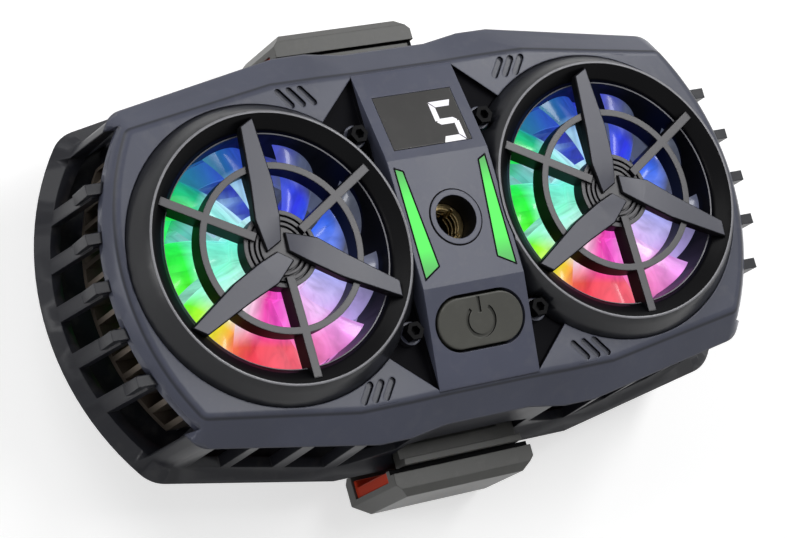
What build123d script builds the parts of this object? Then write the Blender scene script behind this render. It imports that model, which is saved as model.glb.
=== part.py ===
from build123d import *
from math import atan, atan2, cos, degrees, pi, radians, sin, sqrt, tan
import os

# A phone cooling fan with two lit fans, in millimetres. X runs along its length, +Y points to the
# display side and +Z towards the fans. The origin is under its middle, at the tips of the jaws.

# Clearances, and how far cuts run past what they cut
running_gap = 0.05          # shaft in bearing, pin in pinion
slip_gap = 0.1              # pieces set into a pocket
slide_gap = 0.35            # pieces that slide
overrun = 1.0
hair = 0.015                # overlap that fuses two solids

# Wall of the moulded shells
wall = 1.6

# Jaws: the lips stand on the ground and the phone lies between them and the contact pad
lip_thickness = 2.2
lip_layer = 0.8             # rubber on the lip
phone_space = 7.7
jaw_half_width = 13.0
jaw_stand_off = 5.2         # outer face of the closed jaw beyond the body's widest line
jaw_wall = 2.9
jaw_pad = 1.8               # rubber on the jaw's inner wall
jaw_shelf_rise = 0.3        # shelf above the arm plate
jaw_chamfer = 1.2
jaw_corner = 2.0
jaw_seam_width = 0.8        # groove between the arm plate and the jaw's top
jaw_seam_depth = 1.1
lip_tip_inset = 1.5         # where the lip ends, inside the widest line
lip_chamfer = 0.9
jaw_travel = 10.0
arm_half_width = 11.0
arm_thickness = 2.0
arm_root = 17.5             # where the wide arm plate narrows to the rack
arm_groove_half_length = 8.0
arm_groove_width = 0.5
arm_groove_depth = 0.5
arm_groove_inset = 3.1
ridge_half_length = 11.0
ridge_width = 1.1
ridge_height = 1.4
ridge_inset = 0.1

# Contact plate on the phone's side
contact_pad_thickness = 0.5
contact_inset = 1.0
plate_proud = 0.8
plate_half_length = 44.0
plate_half_width = 19.0
plate_flange = 2.0
flange_thickness = 0.8

# Body
body_height = 20.0          # rear face to front face
floor_thickness = 1.4
shoulder_drop = 3.7         # front face to the cover's lower edge
rim_height = 1.6            # rear face to the widest line
rim_inset = 1.0             # rear face inside the widest line
skirt_height = 1.5          # widest line to the foot of the walls
foot_step = 2.0             # foot of the walls inside the widest line
top_step = 0.3              # top of the walls inside the cover's edge

face_reach = 56.3
face_corner_x = 49.7
face_corner_y = 22.7
face_side_x = 24.0
face_side_y = 26.4
face_corner_radius = 2.0
face_edge_radius = 2.0      # rounding between the face and its shoulders

edge_reach = 59.2
edge_corner_x = 49.9
edge_corner_y = 26.9
edge_side_x = 20.0
edge_side_y = 32.0
edge_dip_y = 31.0
edge_corner_radius = 4.0

rim_reach = 63.0
rim_corner_x = 52.5
rim_corner_y = 28.5
rim_side_x = 22.0
rim_side_y = 34.1
rim_corner_radius = 6.0

dip_start_x = 14.3          # the sides dip in over the clamps
dip_end_x = 7.7

# End vents and side slots
rib_pitch = 7.6
rib_thickness = 2.4
window_end_y = 24.2
cover_setback = 1.3         # cover's edge over the end windows, inside its lower edge
skirt_drop = 1.8            # foot of the cover's skirts in the windows, under its lower edge
skirt_top = 2.0             # top of the setback above the cover's lower edge
lug_thickness = 1.7
lug_proud = 1.2
lug_drop = 4.1              # rib lugs from here under the cover's lower edge
lug_rise = 1.3              # and up to here above it
slot_drop = 1.1
slot_starts = (41.1, 32.5, 23.7)
slot_ends = (46.9, 39.6, 30.5)
last_slot_start = 12.6
last_slot_bend = 19.2
last_slot_end = 21.7
last_slot_rise = 4.0
arm_window_height = 6.5
end_ridge_half_length = 13.5
end_ridge_width = 1.7
end_ridge_proud = 0.45
end_ridge_lift = 1.9

# Fans
fan_x = 31.0
collar_rise = 4.0
collar_radius = 22.0
collar_foot_radius = 24.3
collar_flange = 1.2
collar_flange_thickness = 1.0
collar_wall = 1.2
collar_rim = 0.4
throat_radius = 18.8
throat_drop = 2.2
tip_gap = 0.6
grille_drop = 0.5
grille_depth = 3.2
grille_ring_radius = 13.2
grille_ring_width = 1.1
grille_hub_radius = 6.2
grille_hub_drop = 0.6
grille_groove_radii = (5.5, 4.6, 3.8)
grille_groove_width = 0.35
grille_groove_depth = 0.6
spoke_width = 1.4
spoke_reach = 20.9
star_thickness = 1.8
star_fold = 0.6             # how far the arms fall from the fold to the middle
frame_plate = 1.4
frame_ring_height = 3.0
frame_ring_wall = 1.2
frame_hub_radius = 7.5
frame_spoke_width = 2.0
bearing_boss_radius = 2.6
bearing_radius = 2.0
bearing_length = 6.0
shaft_radius = 1.0
shaft_tail = 0.6
hub_radius = 7.0
hub_wall = 1.1
hub_height = 7.0
hub_lift = 1.5              # rotor cup above the frame's base
stator_radius = 5.2
stator_height = 3.8
stator_slot = 1.3
blade_thickness = 1.0
blade_count = 9
blade_lift = 5.4            # middle of the blades above the frame's base
light_ring_inner = 15.0
light_ring_height = 1.1

# Cooling stack
module_size = 30.0
module_thickness = 3.0
sink_base = 1.2
fin_height = 3.0
tall_fin_height = 7.6
fin_pitch = 3.0
fin_thickness = 0.8
sink_start = 14.6
sink_inset = 6.0            # end of the fins inside the widest line
sink_half_width = 21.0
sink_gap = 0.8

# Center panel
panel_half_width = 9.3
panel_rise = 3.8
panel_flat_y = 10.6
panel_end_y = 26.4
panel_slot_half_width = 8.3
panel_slot_end = 3.4
display_half_width = 7.2
display_start_y = 12.3
display_end_y = 21.8
display_lens = 0.9
module_half_width = 6.4
module_depth = 1.5
strip_outer_x = 8.4
strip_top_outer_y = 9.4
strip_top_inner_x = 7.0
strip_top_inner_y = 8.6
strip_foot_inner_x = 5.4
strip_foot_inner_y = 7.3
strip_foot_outer_y = 9.2
strip_depth = 1.0
bezel_radius = 4.5
well_radius = 3.6
bezel_proud = 0.15
well_depth = 8.3
well_floor = 1.2
well_flange = 1.1
well_flange_thickness = 0.9
insert_height = 4.0
insert_bore = 2.55          # quarter-inch thread with 20 turns to the inch
thread_pitch = 1.27
thread_depth = 0.55
thread_width = 0.7
insert_slot_width = 0.6
button_y = 16.7
button_length = 15.6
button_width = 8.1
button_gap = 0.4
button_proud = 0.25
button_travel = 0.5
button_flange = 0.7
button_flange_thickness = 0.7
button_stem_radius = 1.6
symbol_radius = 2.5
symbol_width = 0.6
symbol_depth = 0.35
symbol_gap_degrees = 80.0
switch_size = 5.0
switch_height = 1.5
plunger_radius = 1.3

# Recesses and screws
recess_depth = 1.0
recess_tip_y = 26.0
recess_corner_x = 16.5
recess_corner_y = 19.4
screw_x = 11.6
screw_y = 16.3
screw_seat = 1.1
screw_head_flats = 2.7
screw_head_height = 1.9
screw_socket_flats = 1.4
screw_socket_depth = 1.1
screw_radius = 1.0
screw_length = 9.0
post_radius = 1.9
mark_x = 19.8
mark_y = 24.2
mark_pitch = 2.0
mark_length = 4.1
mark_width = 1.1
mark_degrees = 54.0
mark_depth = 0.5
rear_screw_places = ((44.5, 23.9), (18.6, 27.4))
rear_screw_head_radius = 1.7
rear_screw_head_height = 1.2
rear_screw_sink = 0.3
rear_screw_length = 12.0
rear_post_radius = 2.0
rear_post_height = 6.5

# Clamp mechanism
tooth_module = 0.8
pinion_teeth = 10
pressure_degrees = 25.0
addendum_share = 0.8
dedendum_share = 1.05
backlash = 0.16
rack_width = 4.2
rack_overlap = 2.6
pinion_hub_radius = 2.0
pin_radius = 1.2
pin_head_radius = 2.1
pin_head_height = 0.6
pin_seat = 1.2
guide_thickness = 1.4
guide_half_width = 13.5
guide_half_length = 22.0
guide_corner = 2.0
spring_height = 2.0
spring_thickness = 0.3
spring_pitch = 0.9
spring_turns = 4
board_thickness = 1.2
board_half_width = 8.8
board_half_length = 23.0
board_post_x = 6.6
board_post_y = 20.6
board_post_radius = 1.7

# USB-C socket in the display side
socket_x = 27.1
socket_width = 8.9
socket_height = 3.2
socket_depth = 7.3
socket_wall = 0.35
tongue_thickness = 0.7
tongue_inset = 1.2
socket_lift = 5.0
shelf_width = 7.0

# Anti-slip pads on the rear face
foot_pad_inset = 9.5
foot_pad_width = 3.4
foot_pad_half_length = 13.0
foot_pad_thickness = 0.9

# Levels, from the tips of the jaws up
pad_under = lip_thickness + lip_layer + phone_space
plate_under = pad_under + contact_pad_thickness
rear_level = plate_under + plate_proud
floor_level = rear_level + floor_thickness
plate_top = floor_level + flange_thickness
arm_under = plate_top + slide_gap
arm_top = arm_under + arm_thickness
guide_under = arm_top + slide_gap
guide_top = guide_under + guide_thickness
rim_level = rear_level + rim_height
foot_level = rim_level + skirt_height
face_level = rear_level + body_height
edge_level = face_level - shoulder_drop
under_face = face_level - wall
ring_level = face_level + collar_rise
module_top = plate_top + module_thickness
sink_level = module_top + sink_base
frame_under = sink_level + fin_height
frame_base = frame_under + frame_plate
frame_top = frame_under + frame_ring_height
panel_level = face_level + panel_rise
well_under = panel_level - well_depth - well_floor
board_under = well_under + well_floor
board_top = board_under + board_thickness
post_top = face_level - recess_depth - wall

face_shape = (
    face_reach, face_corner_x, face_corner_y, face_side_x, face_side_y, face_side_y, face_corner_radius
)
edge_shape = (
    edge_reach, edge_corner_x, edge_corner_y, edge_side_x, edge_side_y, edge_dip_y, edge_corner_radius
)
rim_shape = (rim_reach, rim_corner_x, rim_corner_y, rim_side_x, rim_side_y, rim_side_y, rim_corner_radius)

jaw_reach = rim_side_y + jaw_stand_off
lip_tip = rim_side_y - lip_tip_inset
arm_groove_place = rim_side_y - arm_groove_inset
ridge_place = rim_side_y - ridge_inset
sink_end = rim_reach - sink_inset
foot_pad_x = rim_reach - foot_pad_inset

pitch_radius = tooth_module * pinion_teeth / 2
panel_slope = degrees(atan2(panel_rise, panel_end_y - panel_flat_y))
sides = (-1, 1)


def outline(shape, level, inset=0):
    """A closed outline with bowed ends, straight tapering sides and a dip over the clamps."""
    reach, corner_x, corner_y, side_x, side_y, dip_y, radius = shape
    end_x = reach - inset
    right = [
        (corner_x - inset, corner_y - inset),
        (side_x, side_y - inset),
        (dip_start_x, side_y - inset),
        (dip_end_x, dip_y - inset),
    ]
    upper = right + [(-x, y) for x, y in reversed(right)]
    lower = [(-x, -y) for x, y in upper]
    edges = Polyline(*upper).edges() + Polyline(*lower).edges()
    edges.append(ThreePointArc(upper[-1], (-end_x, 0), lower[0]).edge())
    edges.append(ThreePointArc(lower[-1], (end_x, 0), upper[0]).edge())
    face = Face(Wire(edges))
    corners = [v for v in face.vertices() if abs(abs(v.X) - right[0][0]) < hair]
    face = face.fillet_2d(max(radius - inset, radius / 2), corners)
    return Pos(0, 0, level) * face


def body_between(lower_shape, lower_level, upper_shape, upper_level, lower_inset=0, upper_inset=0):
    lower = outline(lower_shape, lower_level, lower_inset)
    upper = outline(upper_shape, upper_level, upper_inset)
    return loft([lower, upper], ruled=True)


def block(x0, x1, y0, y1, z0, z1):
    """A box given by its limits."""
    middle = Pos((x0 + x1) / 2, (y0 + y1) / 2, (z0 + z1) / 2)
    return middle * Box(abs(x1 - x0), abs(y1 - y0), abs(z1 - z0))


def disc(radius, z0, z1, x=0, y=0):
    return Pos(x, y, (z0 + z1) / 2) * Cylinder(radius, z1 - z0)


def tube(outer, inner, z0, z1, x=0, y=0):
    return disc(outer, z0, z1, x, y) - disc(inner, z0 - overrun, z1 + overrun, x, y)


def prism(points, z0, z1):
    return Pos(0, 0, z0) * extrude(make_face(Polyline(*points, close=True)), z1 - z0)


def revolved(points):
    """A ring from an outline of radius and height."""
    profile = make_face(Polyline(*[(r, 0, z) for r, z in points], close=True))
    return revolve(profile, Axis.Z, 360)


def facet_plane(side):
    """A plane in the middle of one of the center panel's sloping facets."""
    middle_y = (panel_flat_y + panel_end_y) / 2
    middle_z = (panel_level + face_level) / 2
    normal = (0, side * sin(radians(panel_slope)), cos(radians(panel_slope)))
    return Plane(origin=(0, side * middle_y, middle_z), x_dir=(1, 0, 0), z_dir=normal)


def along_facet(y):
    """Distance along the facet from its middle, for a place given by its Y."""
    middle_y = (panel_flat_y + panel_end_y) / 2
    return (y - middle_y) / cos(radians(panel_slope))


def cover_solid(grow=0):
    """The front cover's outer form, filled, its face rounded into the shoulders."""
    form = body_between(edge_shape, edge_level, face_shape, face_level, -grow, -grow)
    face = form.faces().sort_by(Axis.Z)[-1]
    return fillet(face.outer_wire().edges(), face_edge_radius)


def cover_hollow(inset=0):
    """The space under the front cover's wall."""
    gap = wall + inset
    return body_between(edge_shape, edge_level - overrun, face_shape, under_face, gap, gap)


def fan_opening(side):
    """What a collar takes out of the front cover: its foot circle cut straight beside the panel."""
    foot = disc(collar_foot_radius + slip_gap, post_top - overrun, face_level + overrun, side * fan_x)
    strip = block(0, side * (panel_half_width + slip_gap), -fan_x, fan_x, 0, ring_level)
    ring = disc(collar_radius + slip_gap, post_top - overrun, face_level + overrun, side * fan_x)
    return foot - strip + ring


def recess_outline(side_x, side_y, inset=0):
    """A recess beside the panel: panel edge, slanting edge and the corner at the collar."""
    return [
        (side_x * (panel_half_width + inset), side_y * (recess_tip_y - 2 * inset)),
        (side_x * (recess_corner_x - inset), side_y * recess_corner_y),
        (side_x * (recess_corner_x - inset), side_y * panel_half_width),
        (side_x * (panel_half_width + inset), side_y * panel_half_width),
    ]


def slot_marks():
    marks = []
    for side_x in sides:
        for side_y in sides:
            for step in (-1, 0, 1):
                mark = SlotOverall(mark_length, mark_width)
                mark = Rot(0, 0, side_x * side_y * mark_degrees) * mark
                place = Pos(side_x * (mark_x + step * mark_pitch), side_y * mark_y, face_level - mark_depth)
                marks.append(place * extrude(mark, mark_depth + overrun))
    return marks


def rib_places():
    return [step * rib_pitch for step in (-2, -1, 0, 1, 2)]


def end_x_at(reach, corner_x, corner_y, y):
    """X of a bowed end at a given Y."""
    rise = reach - corner_x
    radius = (rise ** 2 + corner_y ** 2) / (2 * rise)
    return reach - radius + sqrt(radius ** 2 - y ** 2)


def lug_solids(gap=0):
    """Lugs on the ribs of the end vents, up into slots in the cover's edge."""
    lugs = []
    half = lug_thickness / 2 + gap
    under = edge_level - lug_drop
    top = edge_level + lug_rise + gap
    for side in sides:
        for y in rib_places():
            outer = end_x_at(edge_reach, edge_corner_x, edge_corner_y, y) + lug_proud + gap
            inner = outer - lug_proud - 2 * wall - 2 * gap
            lugs.append(block(side * inner, side * outer, y - half, y + half, under, top))
    return lugs


def window_spans(gap=0):
    """Start and end of each window of an end vent, along Y."""
    half = rib_thickness / 2 + gap
    starts = [gap - window_end_y] + [y + half for y in rib_places()]
    ends = [y - half for y in rib_places()] + [window_end_y - gap]
    return list(zip(starts, ends))


def end_setback():
    """What the cover loses over the end windows: all that is outside an upright face."""
    under = edge_level - overrun
    top = edge_level + skirt_top
    kept = Pos(0, 0, under) * extrude(outline(edge_shape, 0, cover_setback), top + overrun - under)
    cuts = []
    for side in sides:
        space = block(side * face_corner_x, side * rim_reach, -window_end_y, window_end_y, under, top)
        cuts.append(space - kept)
    return cuts


def end_skirts():
    """Upright skirts of the cover inside the windows, between the ribs."""
    under = edge_level - skirt_drop
    top = edge_level + wall / 2
    outer = Pos(0, 0, under) * extrude(outline(edge_shape, 0, cover_setback), top - under)
    ring = outer - Pos(0, 0, under) * extrude(outline(edge_shape, 0, cover_setback + wall), top - under)
    spaces = []
    for side in sides:
        for start, end in window_spans(slip_gap):
            spaces.append(block(side * face_corner_x, side * rim_reach, start, end, under, top))
    return ring & spaces


def screw_posts():
    return [(side_x * screw_x, side_y * screw_y) for side_x in sides for side_y in sides]


def rear_screw_seat():
    return rear_level + rear_screw_sink + rear_screw_head_height


def rear_screws_at():
    return [(side_x * x, side_y * y) for x, y in rear_screw_places for side_x in sides for side_y in sides]


def end_ridges():
    """A low raised strip along each end shoulder."""
    middle = edge_level + end_ridge_lift + end_ridge_width / 2
    slot = Rot(90, 0, 90) * SlotOverall(2 * end_ridge_half_length, end_ridge_width)
    bar = extrude(slot, rim_reach - fan_x, dir=(1, 0, 0))
    bands = [Pos(fan_x, 0, middle) * bar, Pos(-rim_reach, 0, middle) * bar]
    return cover_solid(end_ridge_proud) & bands


def front_cover():
    outer = cover_solid()
    inner = cover_hollow()
    shell = outer + end_ridges() - inner - end_setback() + end_skirts()
    pans = []
    for side_x in sides:
        for side_y in sides:
            pans.append(prism(recess_outline(side_x, side_y, -wall), post_top, under_face + hair))
    shell = shell + (Compound(pans) & outer)
    for x, y in rear_screws_at():
        boss = disc(rear_post_radius, rear_level + rear_post_height, face_level, x, y) & body_between(
            edge_shape, rear_level, face_shape, face_level
        )
        shell = shell + boss
    hole_top = rear_screw_seat() + rear_screw_length + slip_gap
    shell = shell - [disc(screw_radius + slip_gap, rear_level, hole_top, x, y) for x, y in rear_screws_at()]
    for side in sides:
        shell = shell - fan_opening(side)
    for side_x in sides:
        for side_y in sides:
            recess = prism(recess_outline(side_x, side_y), face_level - recess_depth, face_level + overrun)
            shell = shell - recess
            shell = shell + disc(
                post_radius, face_level - recess_depth - wall / 2, face_level - recess_depth + screw_seat,
                side_x * screw_x, side_y * screw_y,
            )
    shell = shell - [
        disc(screw_radius + slip_gap, post_top - overrun, ring_level, x, y) for x, y in screw_posts()
    ]
    slot_end = panel_end_y - panel_slot_end
    half = panel_slot_half_width
    shell = shell - block(-half, half, -slot_end, slot_end, post_top, ring_level)
    shell = shell - slot_marks()
    shell = shell - lug_solids(slip_gap)
    return shell


def center_panel():
    profile = [
        (0, -panel_end_y, face_level),
        (0, -panel_flat_y, panel_level),
        (0, panel_flat_y, panel_level),
        (0, panel_end_y, face_level),
    ]
    outer = extrude(make_face(Polyline(*profile, close=True)), panel_half_width, dir=(1, 0, 0), both=True)
    sunk = panel_rise - wall
    hollow_end = panel_flat_y + (panel_end_y - panel_flat_y) * sunk / panel_rise
    hollow = [
        (0, -hollow_end, face_level),
        (0, -panel_flat_y, panel_level - wall),
        (0, panel_flat_y, panel_level - wall),
        (0, hollow_end, face_level),
    ]
    inner_half = panel_half_width - wall
    shell = outer - extrude(make_face(Polyline(*hollow, close=True)), inner_half, dir=(1, 0, 0), both=True)
    top = ring_level + overrun
    for side in sides:
        shell = shell - disc(collar_radius + slip_gap, face_level - overrun, top, side * fan_x)
        shell = shell - [prism(strip_points(side, slip_gap), panel_level - strip_depth, top)]
    shell = shell - disc(bezel_radius + slip_gap, face_level, ring_level)
    shell = shell - display_block(slip_gap, display_lens + wall + overrun, overrun)
    pill = button_pill(button_gap, button_gap)
    shell = shell - (button_place() * extrude(pill, wall + overrun, both=True))
    return shell


def strip_points(side, grow=0):
    return [
        (side * (strip_outer_x + grow), strip_top_outer_y + grow),
        (side * (strip_top_inner_x - grow), strip_top_inner_y + grow),
        (side * (strip_foot_inner_x - grow), -strip_foot_inner_y - grow),
        (side * (strip_outer_x + grow), -strip_foot_outer_y - grow),
    ]


def light_strip(side):
    return prism(strip_points(side), panel_level - strip_depth, panel_level)


def display_block(grow, down, up):
    """A block through the display's facet, from under it to over it."""
    start = along_facet(display_start_y)
    end = along_facet(display_end_y)
    middle = (start + end) / 2
    size = Rectangle(2 * (display_half_width + grow), end - start + 2 * grow)
    face = facet_plane(1) * Pos(0, middle, -down) * size
    return extrude(face, down + up, dir=facet_plane(1).z_dir)


def display_window():
    return display_block(0, display_lens, 0)


def display_module():
    start = along_facet(display_start_y)
    end = along_facet(display_end_y)
    middle = (start + end) / 2
    depth = display_lens + module_depth
    size = Rectangle(2 * module_half_width, end - start - wall)
    face = facet_plane(1) * Pos(0, middle, -depth) * size
    return extrude(face, module_depth, dir=facet_plane(1).z_dir)


def button_place(depth=0):
    """On the lower facet, a place over the button's middle, its Z along the facet's normal."""
    plane = facet_plane(-1)
    return plane.location * Pos(0, -along_facet(button_y), -depth)


def button_pill(grow_x, grow_y):
    return SlotOverall(button_length + 2 * grow_x, button_width + 2 * grow_y)


def power_button():
    cap_depth = wall + slip_gap
    cap = button_place(cap_depth) * extrude(button_pill(0, 0), cap_depth + button_proud)
    cap = fillet(cap.faces().sort_by(facet_axis())[-1].edges(), button_proud)
    flange = Rectangle(button_length - button_width, button_width + 2 * (button_gap + button_flange))
    ears = button_place(cap_depth + button_flange_thickness) * extrude(flange, button_flange_thickness)
    stem_depth = cap_depth + 2 * button_flange_thickness
    stem = button_place(stem_depth) * extrude(Circle(button_stem_radius), button_flange_thickness)
    ring = Circle(symbol_radius + symbol_width / 2) - Circle(symbol_radius - symbol_width / 2)
    half_gap = radians(symbol_gap_degrees / 2)
    reach = symbol_radius * 2
    side_x = reach * sin(half_gap)
    top_y = reach * cos(half_gap)
    wedge = make_face(Polyline((0, 0), (-side_x, top_y), (side_x, top_y), close=True))
    bar = Pos(0, symbol_radius) * Rectangle(symbol_width, symbol_radius)
    symbol = button_place(-button_proud + symbol_depth) * extrude(ring - wedge + bar, symbol_depth + overrun)
    return cap + ears + stem - symbol


def facet_axis():
    plane = facet_plane(-1)
    return Axis(plane.origin, plane.z_dir)


def button_switch():
    """A push switch on the board, its plunger just under the button's stem at the end of its travel."""
    half = switch_size / 2
    body = block(-half, half, -button_y - half, -button_y + half, board_top, board_top + switch_height)
    return body + disc(plunger_radius, board_top, plunger_top(), 0, -button_y)


def plunger_top():
    facet_z = face_level + (panel_end_y - button_y) * tan(radians(panel_slope))
    stem_depth = wall + slip_gap + 2 * button_flange_thickness + button_travel + slip_gap
    fall = stem_depth * cos(radians(panel_slope))
    return facet_z - fall - button_stem_radius * sin(radians(panel_slope))


def center_well():
    top = panel_level + bezel_proud
    cup = disc(bezel_radius, well_under, top)
    flange_level = panel_level - wall
    flange = disc(bezel_radius + well_flange, flange_level - well_flange_thickness, flange_level)
    return cup + flange - disc(well_radius, well_under + well_floor, top + overrun)


def brass_insert():
    """A threaded insert on the floor of the well, its threads as rings, with two slots down the bore."""
    foot = well_under + well_floor
    top = foot + insert_height
    body = tube(well_radius - running_gap, insert_bore, foot, top)
    groove_radius = insert_bore + thread_depth
    level = foot + thread_pitch / 2
    while level + thread_width < top:
        body = body - disc(groove_radius, level, level + thread_width)
        level = level + thread_pitch
    for turn in (0, 90):
        slot = Box(2 * groove_radius, insert_slot_width, 3 * insert_height)
        body = body - Pos(0, 0, foot) * Rot(0, 0, turn + 45) * slot
    return body


def collar(side):
    """A fan collar: a flared outer wall, a rim, a lip dipping to the throat and the duct below it."""
    duct = throat_radius + collar_wall
    foot = collar_foot_radius - collar_wall
    under_rim = ring_level - throat_drop
    flange_top = under_face
    outline_points = [
        (throat_radius, frame_top),
        (duct, frame_top),
        (duct, under_rim - collar_wall / 2),
        (collar_radius - collar_rim - collar_wall / 2, ring_level - collar_wall - collar_rim),
        (foot, face_level - collar_wall),
        (foot, flange_top - collar_flange_thickness),
        (collar_foot_radius + collar_flange, flange_top - collar_flange_thickness),
        (collar_foot_radius + collar_flange, flange_top),
        (collar_foot_radius, flange_top),
        (collar_foot_radius, face_level),
        (collar_radius, ring_level),
        (collar_radius - collar_rim, ring_level),
        (throat_radius, under_rim),
    ]
    shape = Pos(side * fan_x, 0) * revolved(outline_points)
    beside = side * (panel_half_width + 2 * slip_gap)
    strip = block(0, beside, -fan_x, fan_x, frame_top - overrun, ring_level + overrun)
    strip = strip - disc(collar_radius, frame_top - 2 * overrun, ring_level + 2 * overrun, side * fan_x)
    shape = shape - strip
    notches = [disc(post_radius + slide_gap, frame_top, ring_level + overrun, x, y) for x, y in screw_posts()]
    for side_y in sides:
        pan = prism(recess_outline(side, side_y, -wall - slip_gap), frame_top, under_face + slip_gap)
        inside = disc(collar_foot_radius, frame_top - overrun, under_face + overrun, side * fan_x)
        notches.append(pan - inside)
    posts = [disc(rear_post_radius + slip_gap, frame_top, under_face, x, y) for x, y in rear_screws_at()]
    reach = collar_foot_radius + 2 * collar_flange
    outside = disc(reach, edge_level, under_face, side * fan_x) - cover_hollow(slip_gap)
    posts.append(outside - disc(foot - slip_gap, frame_top, ring_level, side * fan_x))
    return shape - notches - posts


def lip_cutter():
    """The space that a collar's lip and duct take, a hair larger, for the grille to clear it."""
    top = ring_level + overrun
    lean = atan2(throat_drop, collar_radius - collar_rim - throat_radius)
    lift = running_gap / cos(lean)
    return revolved(
        [
            (throat_radius - running_gap, frame_top),
            (collar_foot_radius, frame_top),
            (collar_foot_radius, top),
            (collar_radius - running_gap, top),
            (collar_radius - running_gap, ring_level + lift),
            (collar_radius - collar_rim, ring_level + lift),
            (throat_radius - running_gap, ring_level - throat_drop + lift),
        ]
    )


def star_points():
    """One wide arm of the star, pointing along +Y, in shares of the collar's radius."""
    arm_shares = (
        (0.032, 0.955), (-0.081, 0.90), (-0.124, 0.479), (-0.162, 0.224),
        (-0.120, -0.012), (0.006, 0.050), (0.036, 0.221), (0.055, 0.479),
    )
    return [(x * collar_radius, y * collar_radius) for x, y in arm_shares]


def star_fold_y():
    fold_share = 0.222
    return fold_share * collar_radius


def star_arm():
    under = ring_level - star_thickness
    arm = prism(star_points(), under, ring_level)
    width = collar_radius / 2
    fold = [
        (-width, star_fold_y(), ring_level),
        (-width, star_fold_y(), ring_level + overrun),
        (-width, -star_fold_y(), ring_level + overrun),
        (-width, -star_fold_y(), ring_level - 2 * star_fold),
    ]
    cut = extrude(make_face(Polyline(*fold, close=True)), 2 * width, dir=(1, 0, 0))
    return arm - cut


def star_set():
    return [Rot(0, 0, turn) * star_arm() for turn in (0, 120, 240)]


def star(side):
    arms = [arm - lip_cutter() for arm in star_set()]
    return Pos(side * fan_x, 0) * Compound(arms)


def grille(side):
    top = ring_level - grille_drop
    under = top - grille_depth
    half_width = grille_ring_width / 2
    ring = tube(grille_ring_radius + half_width, grille_ring_radius - half_width, under, top)
    hub = disc(grille_hub_radius, under, top - grille_hub_drop)
    for radius in grille_groove_radii:
        groove_under = top - grille_hub_drop - grille_groove_depth
        hub = hub - tube(radius, radius - grille_groove_width, groove_under, top + overrun)
    body = ring + hub
    for turn in (30, 150, 270):
        half = spoke_width / 2
        spoke = block(grille_hub_radius - wall, spoke_reach, -half, half, under, top)
        body = body + Rot(0, 0, turn) * spoke
    arm_space = prism(star_points(), ring_level - star_thickness, ring_level + overrun)
    body = body - [Rot(0, 0, turn) * arm_space for turn in (0, 120, 240)]
    legs = [Rot(0, 0, turn) * star_leg(under) for turn in (0, 120, 240)]
    body = body + legs
    return Pos(side * fan_x, 0) * (body - lip_cutter())


def star_leg(under):
    """A web under each wide arm, from the hub to the ring, that carries it."""
    half = spoke_width / 2
    inner = grille_hub_radius - wall
    top = ring_level - star_thickness
    return block(-half - spoke_width, half - spoke_width, inner, grille_ring_radius, under, top)


def blade():
    """A cambered, twisted blade between the rotor cup and the throat, as a loft of crescents."""
    middle = frame_base + blade_lift
    tip = throat_radius - tip_gap
    radius_shares = (0.35, 0.68, 1.06)
    chord_shares = (0.30, 0.50, 0.66)
    pitches = (48, 37, 28)
    sweep_step = 10
    sections = []
    for step, (radius_share, chord_share, pitch) in enumerate(zip(radius_shares, chord_shares, pitches)):
        sweep = radians(sweep_step * step)
        radius = radius_share * tip
        chord = chord_share * tip
        out = (cos(sweep), sin(sweep), 0)
        origin = (radius * out[0], radius * out[1], middle)
        plane = Plane(origin=origin, x_dir=(-out[1], out[0], 0), z_dir=out)
        bow = chord / 8
        low = ThreePointArc((-chord / 2, 0), (0, bow), (chord / 2, 0))
        high = ThreePointArc((chord / 2, 0), (0, bow + blade_thickness), (-chord / 2, 0))
        section = Face(Wire([low.edge(), high.edge()]))
        sections.append(plane * Rot(0, 0, pitch) * section)
    return loft(sections)


def impeller(side):
    under = frame_base + hub_lift
    top = under + hub_height
    cup = disc(hub_radius, under, top) - disc(hub_radius - hub_wall, under - overrun, top - hub_wall)
    edge = cup.edges().filter_by(GeomType.CIRCLE).group_by(Axis.Z)[-1]
    cup = fillet(edge, hub_wall / 2)
    room = tube(throat_radius - tip_gap, hub_radius - hub_wall / 2, under - overrun, top + overrun)
    one = blade() & room
    blades = [Rot(0, 0, 360 * step / blade_count) * one for step in range(blade_count)]
    cup = cup + blades
    socket = disc(shaft_radius + running_gap / 2, top - hub_wall - overrun, top - hub_wall / 2)
    return Pos(side * fan_x, 0) * (cup - socket)


def fan_shaft(side):
    top = frame_base + hub_lift + hub_height - hub_wall / 2
    return disc(shaft_radius, frame_base - shaft_tail / 2, top, side * fan_x)


def fan_bearing(side):
    top = frame_base + bearing_length
    return tube(bearing_radius, shaft_radius + running_gap, frame_base, top, side * fan_x)


def stator(side):
    """A ring of wound poles round the bearing boss."""
    ring = tube(stator_radius, bearing_boss_radius + running_gap, frame_base, frame_base + stator_height)
    for turn in (0, 45, 90, 135):
        slot = Box(3 * stator_radius, stator_slot, stator_height)
        slot = slot - Box(stator_radius + wall, stator_slot + overrun, stator_height + overrun)
        ring = ring - Pos(0, 0, frame_base + stator_height / 2) * Rot(0, 0, turn) * slot
    return Pos(side * fan_x, 0) * ring


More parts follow.
